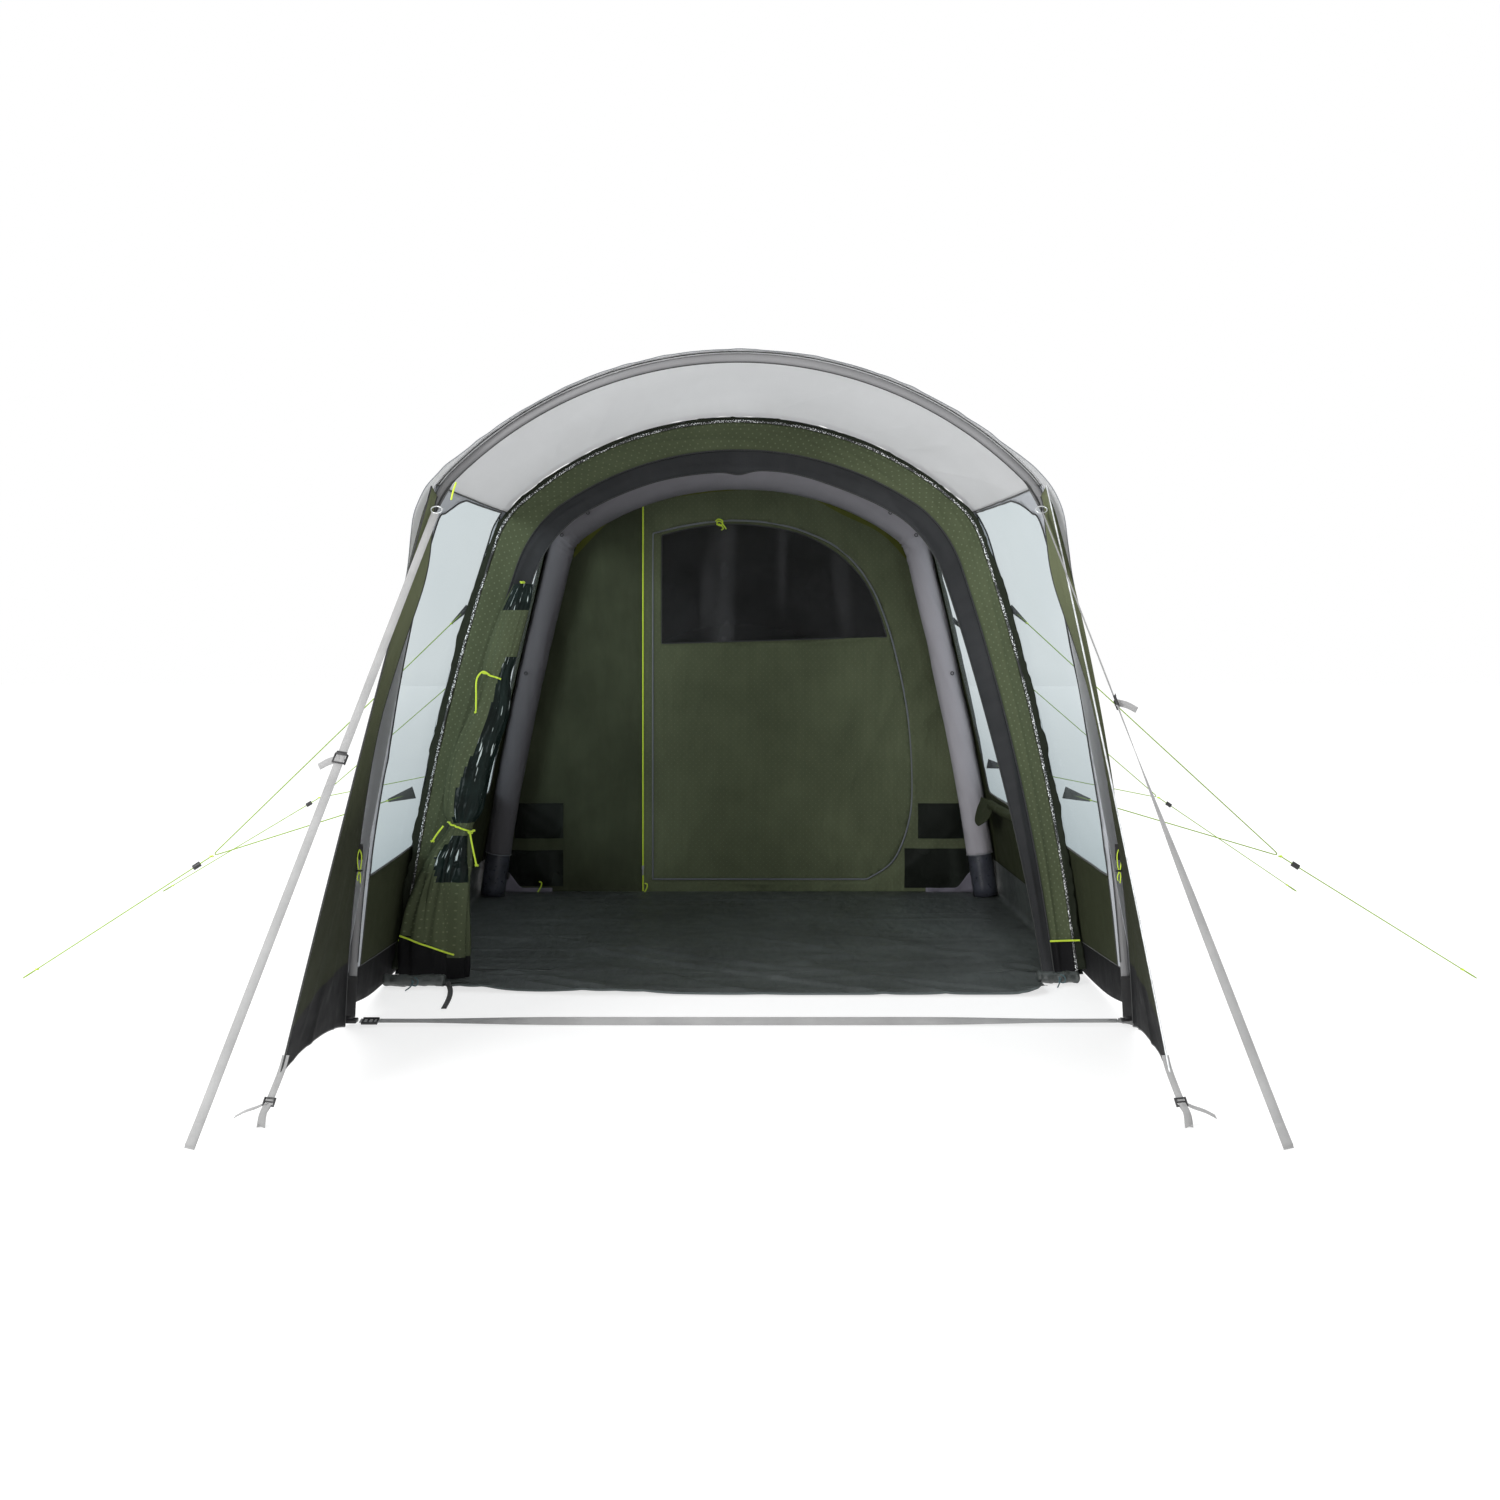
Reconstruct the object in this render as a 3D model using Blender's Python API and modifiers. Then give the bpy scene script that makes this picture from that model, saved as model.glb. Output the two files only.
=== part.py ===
"""An inflatable tunnel tent with a front porch canopy, in metres.

+X is the tent's right as seen from the porch, +Y runs from the porch to the rear wall and +Z is up.
The origin is on the ground under the middle of the tent. Every section of the tunnel is a Hoop, and the
fabric panels are lofts between two hoops.
"""

import math

import bpy
from mathutils import Matrix, Vector

SIDES = {"left": -1, "right": 1}

# Fabric, webbing and the gaps between neighbouring pieces
FABRIC = 0.002
SHEET = 0.003
SEAM = 0.0015
HEM = 0.002
HOOP_GIRTH = 5.5
PORCH_SAG = 0.012
LONG_SAG = 0.020

# Stations along the tent
POLE_Y = -1.80
CANOPY_EDGE_Y = -1.82
WING_EDGE_Y = -1.824
WING_TIP_Y = -2.60
PEG_Y = -2.698
DOOR_Y = -1.18
FRONT_TUBE_Y = -1.08
MIDDLE_TUBE_Y = 0.40
INNER_WALL_Y = 0.53
INNER_REAR_Y = 2.50
REAR_TUBE_Y = 2.625
REAR_Y = 2.70
FRONT_LEAN = 0.128
REAR_LEAN = -0.20
REAR_WALL_INSET = 0.008
REAR_WALL_HEM = 0.001
PORCH_LENGTH = FRONT_TUBE_Y - CANOPY_EDGE_Y
LIVING_LENGTH = MIDDLE_TUBE_Y - FRONT_TUBE_Y
BEDROOM_LENGTH = REAR_Y - MIDDLE_TUBE_Y

# Wings: where the front edge starts and ends, how it bows, how far the pole edge is folded in and between
# which heights, and the points of the strap under the tip
WING_TOP = 0.965
WING_FRONT_TOP = (0.948, WING_EDGE_Y - 0.03, 1.58)
WING_TIP_X = {"left": 1.122, "right": 1.055}
WING_TIP_Z = 0.10
WING_HOLLOW = (0.02, 0.05, 0)
WING_HEM_ARCH = 0.03
WING_FOLD = (0.062, 0.55, 1.40)
WING_FOOT = 0.002
WING_STRAP_START = 0.969
WING_STRAP = ((0.004, (WING_TIP_Y + PEG_Y) / 2, 0.050), (0.014, PEG_Y, 0.004))

# Front pole and its sleeve
POLE_RADIUS = 0.006
POLE_INSET = 0.0195
POLE_FOOT_Z = 0.035
SLEEVE_HALF_WIDTH = 0.0135
SLEEVE_HALF_DEPTH = 0.010
SLEEVE_FOOT_Z = 0.25

# Air tubes
TUBE_RADIUS = 0.058
TUBE_INSET = 0.080
TUBE_SIDES = 10
TUBE_FOOT_Z = 0.022
BLADDER_WALL = 0.001
SLEEVE_RADIUS = 0.0605
SLEEVE_WALL = 0.0012
TUBE_SLEEVE_WALL = 0.001
SLEEVE_END_Z = 0.22
VALVE_Z = 0.12
VALVE_WINDOW = 0.034

# Valve: a flanged body, a check pin in its bore and a cap
VALVE_STEM_RADIUS = 0.0125
VALVE_FLANGE_RADIUS = 0.019
VALVE_BORE_RADIUS = 0.006
VALVE_DEPTH = 0.012
VALVE_FLANGE = (0.002, 0.006)
PIN_RADIUS = 0.0035
PIN_SPAN = (-0.010, 0.004)
CAP_RADIUS = 0.017
CAP_SPAN = (0.0065, 0.0105)
TURNED_STEPS = 12

# Door arch
DOOR_THICKNESS = 0.002
ARCH_FOOT = 0.002
ROLL_GAP = 0.052
ROLL_SIDES = 10

# Windows, as shares of a wall's depth and of its leg height
PORCH_WINDOW = ((0.28, 0.93), (0.265, 0.975))
LIVING_WINDOW = ((0.06, 0.94), (0.29, 0.97))

# Groundsheet
SHEET_FRONT_Y = -1.445
SHEET_REAR_Y = 0.50
SHEET_FRONT_HALF = 1.02
SHEET_STEP_Y = -1.160
SHEET_TURN_UP = 0.17
SHEET_INSET = 0.013

# Inner tent
INNER_INSET = 0.078
INNER_REAR_INSET = 0.090
INNER_FOOT = 0.0035
INNER_DOOR_EDGE_X = -0.42
INNER_DOOR_FOOT_Z = 0.06
DOOR_GAP = 0.0015
ZIP_X = -0.465
ZIP_Z = 0.12

# Straps and lines
WEBBING = (0.025, 0.0016)
STORM_STRAP_TOP = (0.935, -1.860, 1.600)
STORM_STRAP_END = (1.250, -2.830, 0.003)
BUCKLE_PLACE = {"left": 0.47, "right": 0.375}
BUCKLE_OUTSIDE = (0.036, 0.010)
BUCKLE_SLOT = (0.029, 0.0044)
BUCKLE_LENGTH = 0.026
THRESHOLD_HALF = 1.160
LINE_RADIUS = 0.002
LINE_CORNER = 0.03
RUNNER_PLACE = 0.06
RUNNER_RADIUS = 0.005
RUNNER_STRETCH = 1.9
RUNNER_BORE = 0.0030
RUNNER_LENGTH = 0.028

COLOURS = {
    "roof_fabric": ((0.60, 0.62, 0.66), 0.75, 0.0),
    "green_fabric": ((0.062, 0.078, 0.045), 0.80, 0.0),
    "dark_fabric": ((0.030, 0.031, 0.033), 0.80, 0.0),
    "window_film": ((0.62, 0.68, 0.70), 0.15, 0.0),
    "sleeve_fabric": ((0.33, 0.32, 0.33), 0.70, 0.0),
    "bladder_film": ((0.045, 0.048, 0.062), 0.35, 0.0),
    "pole_fibreglass": ((0.10, 0.10, 0.10), 0.35, 0.0),
    "valve_plastic": ((0.02, 0.02, 0.02), 0.45, 0.0),
    "ground_fabric": ((0.030, 0.036, 0.038), 0.60, 0.0),
    "inner_fabric": ((0.050, 0.062, 0.038), 0.85, 0.0),
    "inner_mesh": ((0.012, 0.012, 0.013), 0.60, 0.0),
    "webbing": ((0.52, 0.52, 0.52), 0.80, 0.0),
    "buckle_plastic": ((0.02, 0.02, 0.02), 0.40, 0.0),
    "guy_cord": ((0.55, 0.75, 0.02), 0.65, 0.0),
    "zip_metal": ((0.35, 0.36, 0.37), 0.35, 0.9),
}


class Hoop:
    """Half sections run from the apex, q = 0, over the shoulder, q = 0.5, to the foot, q = 1.

    The legs are bowed, the top is a round arc, and a short curve joins them at the shoulder. A whole section
    runs from the left foot, s = 0, over the shoulders, s = 0.25 and s = 0.75, to the right foot, s = 1.
    """

    def __init__(self, y, foot, shoulder, apex, bow, corner=0.08, lean=0.0, inset=0.0):
        self.y = y
        self.foot = foot
        self.shoulder = Vector(shoulder)
        self.apex = apex
        self.bow = bow
        self.lean = lean
        self.inset = inset
        rise = apex - self.shoulder.y
        self.radius = (self.shoulder.x**2 + rise**2) / (2 * rise)
        self.angle = math.asin(self.shoulder.x / self.radius)
        self.leg_cut = corner / math.hypot(foot - self.shoulder.x, self.shoulder.y)
        self.top_cut = corner / (self.radius * self.angle)

    def moved(self, y, inset):
        """The same section at another station, drawn in by an inset."""
        corner = self.top_cut * self.radius * self.angle
        return Hoop(y, self.foot, self.shoulder, self.apex, self.bow, corner, self.lean, inset)

    def leg(self, v):
        x = self.foot + (self.shoulder.x - self.foot) * v + 4 * self.bow * v * (1 - v)
        return Vector((x, self.shoulder.y * v))

    def top(self, w):
        angle = w * self.angle
        height = self.apex - self.radius * (1 - math.cos(angle))
        return Vector((self.radius * math.sin(angle), height))

    def half(self, q):
        low = 0.5 - self.top_cut / 2
        high = 0.5 + self.leg_cut / 2
        if q <= low:
            return self.top(2 * q)
        if q >= high:
            return self.leg(2 * (1 - q))
        t = (q - low) / (high - low)
        start = self.top(1 - self.top_cut)
        end = self.leg(1 - self.leg_cut)
        return start * (1 - t) ** 2 + self.shoulder * (2 * t * (1 - t)) + end * t**2

    def flat(self, s):
        """The point at s and the inward direction there, in the section's own plane."""
        q = abs(2 * s - 1)
        side = 1 if s >= 0.5 else -1
        step = 0.002
        along = (self.half(q + step) - self.half(q - step)).normalized()
        inward = Vector((along.y, -along.x))
        point = self.half(q) + inward * self.inset
        return Vector((point.x * side, point.y)), Vector((inward.x * side, inward.y))

    def at(self, s):
        point, _ = self.flat(s)
        return Vector((point.x, self.y + self.lean * point.y, point.y))

    def inward(self, s):
        _, inward = self.flat(s)
        return Vector((inward.x, self.lean * inward.y, inward.y)).normalized()

    def across(self):
        """The direction through the section's plane."""
        return Vector((0, 1, -self.lean)).normalized()

    def at_height(self, height):
        """The s of the point on the left leg at about this height."""
        return height / self.shoulder.y / 4


CANOPY_HOOP = Hoop(CANOPY_EDGE_Y, 1.210, (0.945, 1.635), 2.062, 0.050)
FRONT_HOOP = Hoop(FRONT_TUBE_Y, 1.235, (0.900, 1.665), 2.050, 0.052, lean=FRONT_LEAN)
MIDDLE_HOOP = Hoop(MIDDLE_TUBE_Y, 1.252, (0.898, 1.745), 2.062, 0.030, corner=0.10)
REAR_HOOP = Hoop(REAR_Y, 1.080, (0.800, 1.130), 1.440, 0.040, lean=REAR_LEAN)
DOOR_OUTER = Hoop(DOOR_Y, 1.224, (0.897, 1.650), 2.040, 0.050, lean=FRONT_LEAN)
DOOR_MIDDLE = Hoop(DOOR_Y, 1.115, (0.775, 1.600), 1.901, 0.045, 0.14, FRONT_LEAN)
DOOR_INNER = Hoop(DOOR_Y, 1.080, (0.710, 1.555), 1.825, 0.035, 0.14, FRONT_LEAN)


def clear_scene():
    for obj in list(bpy.data.objects):
        bpy.data.objects.remove(obj)


def spread(start, end, count):
    """count + 1 even values from start to end."""
    return [start + (end - start) * i / count for i in range(count + 1)]


def drawn_in(values, gap):
    """Rising values whose two ends are moved inward by a gap."""
    return [values[0] + gap, *values[1:-1], values[-1] - gap]


def material(name):
    found = bpy.data.materials.get(name)
    if found:
        return found
    colour, roughness, metallic = COLOURS[name]
    made = bpy.data.materials.new(name)
    made.use_nodes = True
    shader = made.node_tree.nodes["Principled BSDF"]
    shader.inputs["Base Color"].default_value = (*colour, 1.0)
    shader.inputs["Roughness"].default_value = roughness
    shader.inputs["Metallic"].default_value = metallic
    made.diffuse_color = (*colour, 1.0)
    return made


def place(name, data, material_name, matrix=None):
    """A new object in the tent's collection."""
    obj = bpy.data.objects.new(name, data)
    tent.objects.link(obj)
    data.materials.append(material(material_name))
    if matrix is not None:
        obj.matrix_world = matrix
    return obj


def build_mesh(name, points, faces, material_name, thickness=0.0, matrix=None):
    """A mesh object, made a shell of a given thickness inside its faces."""
    mesh = bpy.data.meshes.new(name)
    mesh.from_pydata([tuple(p) for p in points], [], faces)
    mesh.update()
    obj = place(name, mesh, material_name, matrix)
    if thickness:
        shell = obj.modifiers.new("shell", "SOLIDIFY")
        shell.thickness = thickness
        shell.offset = -1
        shell.use_even_offset = True
    return obj


def grid(rows, closed=False, skip=(), flip=False):
    """Points and quads of a grid of equal rows. The faces look along column x row."""
    count = len(rows[0])
    points = [p for row in rows for p in row]
    faces = []
    for i in range(len(rows) - 1):
        for j in range(count if closed else count - 1):
            if (i, j) in skip:
                continue
            k = (j + 1) % count
            face = (i * count + j, i * count + k, (i + 1) * count + k, (i + 1) * count + j)
            faces.append(face[::-1] if flip else face)
    return points, faces


def ring_caps(rows):
    """The two end faces of a closed grid."""
    count = len(rows[0])
    first = tuple(range(count))[::-1]
    last = tuple(range((len(rows) - 1) * count, len(rows) * count))
    return first, last


# ---------------------------------------------------------------------------
# Fabric skins between two hoops


def between(front, rear, sag):
    """A skin from one hoop to the next that is drawn in by a sag half way, and straight along the ground."""

    def point(u, s):
        straight = front.at(s).lerp(rear.at(s), u)
        leg_share = 4 * min(s, 1 - s)
        return straight + front.inward(s) * (sag * 4 * u * (1 - u) * min(1, 2 * leg_share))

    return point


def panel(name, skin, depths, places, material_name, skip=()):
    rows = [[skin(u, s) for s in places] for u in depths]
    points, faces = grid(rows, skip=skip)
    return build_mesh(name, points, faces, material_name, FABRIC)


def leg_places(side, heights):
    """Rising s values for leg heights given as shares, 0 at the foot and 1 at the shoulder."""
    if side < 0:
        return [v / 4 for v in heights]
    return [1 - v / 4 for v in reversed(heights)]


def wall_with_window(prefix, side_name, skin, length, window):
    """A side wall with a window opening, and the film that fills it."""
    (near, far), (sill, head) = window
    side = SIDES[side_name]
    gap_u = SEAM / length
    gap_s = SEAM / HOOP_GIRTH
    hem = HEM / FRONT_HOOP.shoulder.y
    heights = [hem, sill / 2, *spread(sill, head, 4), 1 - 4 * gap_s]
    depths = [gap_u, *spread(near, far, 2), 1 - gap_u]
    places = leg_places(side, heights)
    bottom_first = side < 0
    window_columns = range(2, 6) if bottom_first else range(1, 5)
    hole = {(i, j) for i in (1, 2) for j in window_columns}
    panel(f"{prefix}_wall_{side_name}", skin, depths, places, "green_fabric", hole)
    film_depths = drawn_in(spread(near, far, 2), gap_u)
    film_places = drawn_in(leg_places(side, spread(sill, head, 4)), gap_s)
    panel(f"{prefix}_window_{side_name}", skin, film_depths, film_places, "window_film")


def flysheet():
    gap_s = SEAM / HOOP_GIRTH
    bays = (
        ("porch", between(CANOPY_HOOP, FRONT_HOOP, PORCH_SAG), PORCH_LENGTH, PORCH_WINDOW, 2),
        ("living", between(FRONT_HOOP, MIDDLE_HOOP, LONG_SAG), LIVING_LENGTH, LIVING_WINDOW, 3),
        ("bedroom", between(MIDDLE_HOOP, REAR_HOOP, LONG_SAG), BEDROOM_LENGTH, None, 4),
    )
    shoulder = [0.25, 0.264, 0.284]
    crown = spread(0.31, 0.69, 9)
    roof_places = drawn_in([*shoulder, *crown, *[1 - s for s in reversed(shoulder)]], gap_s)
    for name, skin, length, window, steps in bays:
        depths = drawn_in(spread(0, 1, steps), SEAM / length)
        panel(f"{name}_roof", skin, depths, roof_places, "roof_fabric")
        for side_name, side in SIDES.items():
            if window:
                wall_with_window(name, side_name, skin, length, window)
                continue
            heights = [HEM / REAR_HOOP.shoulder.y, *spread(0.2, 0.8, 3), 1 - 4 * gap_s]
            wall = f"{name}_wall_{side_name}"
            panel(wall, skin, depths, leg_places(side, heights), "green_fabric")


def rear_wall():
    """The flat sloping wall inside the rear edge of the bedroom's fabric."""
    outline = REAR_HOOP.moved(REAR_Y - FABRIC, REAR_WALL_INSET)
    places = drawn_in(spread(0, 1, 24), REAR_WALL_HEM)
    points = [outline.at(s) for s in places]
    build_mesh("rear_wall", points, [tuple(range(len(points)))], "green_fabric", FABRIC)


def wing(side_name, side):
    """The wing in front of the pole: a curved triangle, and the strap from its tip to the ground."""
    pole_edge = CANOPY_HOOP.moved(WING_EDGE_Y, 0)
    depth, fold_foot, fold_top = WING_FOLD
    tip_x = WING_TIP_X[side_name]
    tip = Vector((tip_x, WING_TIP_Y, WING_TIP_Z))
    columns = [0, 0.25, 0.5, 0.75, WING_STRAP_START, 1]
    rows = []
    for v in spread(0, 1, 7):
        height = WING_TOP * (1 - v) + WING_FOOT * v
        s = 1 - height / 4
        edge = pole_edge.at(s)
        share = min(1, max(0, (edge.z - fold_foot) / (fold_top - fold_foot)))
        near = edge + pole_edge.inward(s) * (depth * share)
        far = Vector(WING_FRONT_TOP).lerp(tip, v) + Vector(WING_HOLLOW) * (4 * v * (1 - v))
        lift = Vector((0, 0, WING_HEM_ARCH * v**4))
        row = [near.lerp(far, u) + lift * (4 * u * (1 - u)) for u in columns]
        rows.append([Vector((p.x * side, p.y, p.z)) for p in row])
    points, faces = grid(rows, flip=side < 0)
    inner, outer = len(points) - 2, len(points) - 1
    along = points[outer] - points[inner]
    half = along.length / 2
    along.normalize()
    for out, y, z in WING_STRAP:
        start = len(points)
        centre = Vector(((tip_x + out) * side, y + half, z))
        points += [centre - along * half, centre + along * half]
        face = (inner, outer, start + 1, start)
        faces.append(face[::-1] if side < 0 else face)
        inner, outer = start, start + 1
    build_mesh(f"wing_{side_name}", points, faces, "green_fabric", FABRIC)


def wall_x(y, height):
    """The half width of the fabric tunnel at a station, at a height on its legs."""
    front, rear = (FRONT_HOOP, MIDDLE_HOOP) if y < MIDDLE_TUBE_Y else (MIDDLE_HOOP, REAR_HOOP)
    share = max(0, (y - front.y) / (rear.y - front.y))
    near, far = (hoop.leg(height / hoop.shoulder.y).x for hoop in (front, rear))
    return near + (far - near) * share


def groundsheet():
    """A floor with turned-up sides that starts as a flat flap in front of the door."""
    flap = SHEET_FRONT_HALF
    rows = []
    for y in (SHEET_FRONT_Y, SHEET_STEP_Y - 0.005, SHEET_STEP_Y, -1.10, -0.40, 0.36, SHEET_REAR_Y):
        if y < SHEET_STEP_Y:
            turn_x, top_x, top_z = flap - 0.02, flap, SHEET
        else:
            top_z = SHEET + 0.001 if y == SHEET_STEP_Y else SHEET_TURN_UP
            turn_x = wall_x(y, 0) - SHEET_INSET
            top_x = wall_x(y, top_z) - SHEET_INSET
        xs = (-top_x, -turn_x, -0.4, 0.4, turn_x, top_x)
        zs = (top_z, SHEET, SHEET, SHEET, SHEET, top_z)
        rows.append([Vector((x, y, z)) for x, z in zip(xs, zs)])
    points, faces = grid(rows)
    sheet = build_mesh("groundsheet", points, faces, "ground_fabric", SHEET)
    sheet.modifiers["shell"].use_even_offset = False


# ---------------------------------------------------------------------------
# Front pole, air tubes and valves


def swept(name, hoop, places, half_in, half_across, sides, material_name, wall, hole=None, capped=False):
    """A tube along a hoop with an oval section, open at its ends or capped."""
    rows = []
    for s in places:
        centre, inward, across = hoop.at(s), hoop.inward(s), hoop.across()
        row = []
        for k in range(sides):
            angle = 2 * math.pi * (k - 0.5) / sides
            offset = inward * (half_in * math.cos(angle)) + across * (half_across * math.sin(angle))
            row.append(centre + offset)
        rows.append(row)
    points, faces = grid(rows, closed=True, skip=hole or ())
    if capped:
        faces += ring_caps(rows)
    return build_mesh(name, points, faces, material_name, wall)


def wire(name, points, radius, material_name, resolution):
    """A round rod or cord along a chain of points."""
    curve = bpy.data.curves.new(name, "CURVE")
    curve.dimensions = "3D"
    curve.bevel_depth = radius
    curve.bevel_resolution = resolution
    curve.use_fill_caps = True
    spline = curve.splines.new("POLY")
    spline.points.add(len(points) - 1)
    for knot, point in zip(spline.points, points):
        knot.co = (*point, 1.0)
    return place(name, curve, material_name)


def front_pole():
    hoop = CANOPY_HOOP.moved(POLE_Y, POLE_INSET)
    left = hoop.at_height(SLEEVE_FOOT_Z)
    places = [*spread(left, 0.22, 4), *spread(0.235, 0.765, 14), *spread(0.78, 1 - left, 4)]
    foot = hoop.at_height(POLE_FOOT_Z)
    rod = [hoop.at(s) for s in (foot, *places, 1 - foot)]
    wire("front_pole", rod, POLE_RADIUS, "pole_fibreglass", 1)
    swept(
        "front_pole_sleeve", hoop, places, SLEEVE_HALF_WIDTH, SLEEVE_HALF_DEPTH, 8,
        "sleeve_fabric", SLEEVE_WALL,
    )


def turned(name, profile, matrix, material_name):
    """A ring or disc turned about local Z. The profile runs down its outer side."""
    mesh = bpy.data.meshes.new(name)
    closed = profile[0][0] > 0
    edges = [(i, i + 1) for i in range(len(profile) - 1)]
    if closed:
        edges.append((len(profile) - 1, 0))
    mesh.from_pydata([(r, 0, z) for r, z in profile], edges, [])
    obj = place(name, mesh, material_name, matrix)
    screw = obj.modifiers.new("turn", "SCREW")
    screw.steps = TURNED_STEPS
    screw.render_steps = TURNED_STEPS
    screw.use_merge_vertices = True
    screw.merge_threshold = 0.00005
    screw.use_smooth_shade = True
    return obj


def valve_frame(hoop):
    """Where a valve sits: its Z points out of the bladder's left foot and its Y points down the leg."""
    s = VALVE_Z / hoop.shoulder.y / 4
    normal = hoop.inward(s)
    across = hoop.across()
    seat = hoop.at(s) + normal * (TUBE_RADIUS * math.cos(math.pi / TUBE_SIDES))
    down = normal.cross(across)
    if down.z > 0:
        across, down = -across, -down
    return Matrix.Translation(seat) @ Matrix((across, down, normal)).transposed().to_4x4()


def valve(prefix, hoop):
    """The inflation valve on the inward face of a bladder's left foot."""
    frame = valve_frame(hoop)
    low, high = VALVE_FLANGE
    body = (
        (VALVE_FLANGE_RADIUS, high), (VALVE_FLANGE_RADIUS, low), (VALVE_STEM_RADIUS, low),
        (VALVE_STEM_RADIUS, -VALVE_DEPTH), (VALVE_BORE_RADIUS, -VALVE_DEPTH), (VALVE_BORE_RADIUS, high),
    )
    turned(f"{prefix}_valve_body", body, frame, "valve_plastic")
    for part, radius, (low, high) in (("pin", PIN_RADIUS, PIN_SPAN), ("cap", CAP_RADIUS, CAP_SPAN)):
        profile = ((0, high), (radius, high), (radius, low), (0, low))
        turned(f"{prefix}_valve_{part}", profile, frame, "valve_plastic")


def air_tube(prefix, hoop):
    """A bladder with welded ends and a valve opening, inside an open-ended sleeve."""
    height = hoop.shoulder.y
    half_window = VALVE_WINDOW / 2
    leg = [TUBE_FOOT_Z, VALVE_Z - half_window, VALVE_Z + half_window]
    feet = [z / height / 4 for z in leg]
    sleeve_end = SLEEVE_END_Z / height / 4
    side = [*spread(sleeve_end, 0.225, 4), 0.24, 0.25, 0.26]
    crown = spread(0.28, 0.72, 7)
    covered = [*side, *crown, *[1 - s for s in reversed(side)]]
    places = [*feet, *covered, *[1 - s for s in reversed(feet)]]
    swept(
        f"{prefix}_air_tube", hoop, places, TUBE_RADIUS, TUBE_RADIUS, TUBE_SIDES,
        "bladder_film", BLADDER_WALL, hole={(1, 0)}, capped=True,
    )
    swept(
        f"{prefix}_tube_sleeve", hoop, covered, SLEEVE_RADIUS, SLEEVE_RADIUS, TUBE_SIDES,
        "sleeve_fabric", TUBE_SLEEVE_WALL,
    )
    valve(prefix, hoop)


# ---------------------------------------------------------------------------
# Door arch and the gathered door


def arch_band(name, outer, inner, material_name):
    """A flat arch between two outlines in the door's leaning plane."""
    legs = [ARCH_FOOT, *spread(0.04, 0.20, 4)]
    places = [*legs, *spread(0.225, 0.775, 16), *[1 - s for s in reversed(legs)]]
    rows = [[inner.at(s) for s in places], [outer.at(s) for s in places]]
    points, faces = grid(rows)
    build_mesh(name, points, faces, material_name, DOOR_THICKNESS)


def door_arch():
    arch_band("door_wall", DOOR_OUTER, DOOR_MIDDLE.moved(DOOR_Y, -SEAM), "green_fabric")
    arch_band("door_edge_band", DOOR_MIDDLE, DOOR_INNER, "dark_fabric")


def rolled_door():
    """The door gathered to the left: a long soft bundle, widest at the ground."""
    #        height  centre x  half width  half depth
    bundle = (
        (0.020, -1.045, 0.120, 0.036),
        (0.095, -1.050, 0.132, 0.044),
        (0.270, -1.050, 0.120, 0.045),
        (0.510, -0.995, 0.098, 0.042),
        (0.757, -0.965, 0.085, 0.040),
        (1.050, -0.905, 0.066, 0.038),
        (1.300, -0.845, 0.052, 0.034),
        (1.430, -0.800, 0.030, 0.022),
    )
    rows = []
    for z, x, half_width, half_depth in bundle:
        y = DOOR_Y + FRONT_LEAN * z - ROLL_GAP
        row = []
        for k in range(ROLL_SIDES):
            angle = 2 * math.pi * k / ROLL_SIDES
            row.append(Vector((x + half_width * math.cos(angle), y + half_depth * math.sin(angle), z)))
        rows.append(row)
    points, faces = grid(rows, closed=True)
    faces += ring_caps(rows)
    build_mesh("rolled_door", points, faces, "green_fabric")


# ---------------------------------------------------------------------------
# Flat plates


def plate(name, outline, holes, thickness, matrix, material_name):
    """A flat outline with holes, extruded both ways from its own plane."""
    curve = bpy.data.curves.new(name, "CURVE")
    curve.dimensions = "2D"
    curve.fill_mode = "BOTH"
    curve.extrude = thickness / 2
    for loop in (outline, *holes):
        spline = curve.splines.new("POLY")
        spline.use_cyclic_u = True
        spline.points.add(len(loop) - 1)
        for knot, (x, y) in zip(spline.points, loop):
            knot.co = (x, y, 0, 1)
    return place(name, curve, material_name, matrix)


def rectangle(width, height):
    x, y = width / 2, height / 2
    return [(-x, -y), (x, -y), (x, y), (-x, y)]


def circle(radius, count):
    return [
        (radius * math.cos(2 * math.pi * i / count), radius * math.sin(2 * math.pi * i / count))
        for i in range(count)
    ]


def smooth(points, steps):
    """A Catmull-Rom curve through the points, from the first to the last."""
    ends = [points[0], *points, points[-1]]
    knots = [Vector(p) for p in ends]
    curve = []
    for a, b, c, d in zip(knots, knots[1:], knots[2:], knots[3:]):
        for i in range(steps):
            t = i / steps
            pull = (c - a) * t + (2 * a - 5 * b + 4 * c - d) * t**2 + (3 * b - a - 3 * c + d) * t**3
            curve.append(tuple(b + pull / 2))
    curve.append(tuple(knots[-2]))
    return curve


def shrunk(points, gap):
    """A closed outline, counter-clockwise, moved inward by a gap."""
    moved = []
    count = len(points)
    for i, point in enumerate(points):
        before = (Vector(point) - Vector(points[i - 1])).normalized()
        after = (Vector(points[(i + 1) % count]) - Vector(point)).normalized()
        normal = Vector((-before.y - after.y, before.x + after.x))
        scale = 2 / max(normal.length_squared, 0.5)
        moved.append(tuple(Vector(point) + normal * (scale * gap)))
    return moved


STANDING = Matrix.Rotation(math.pi / 2, 4, "X")


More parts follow.
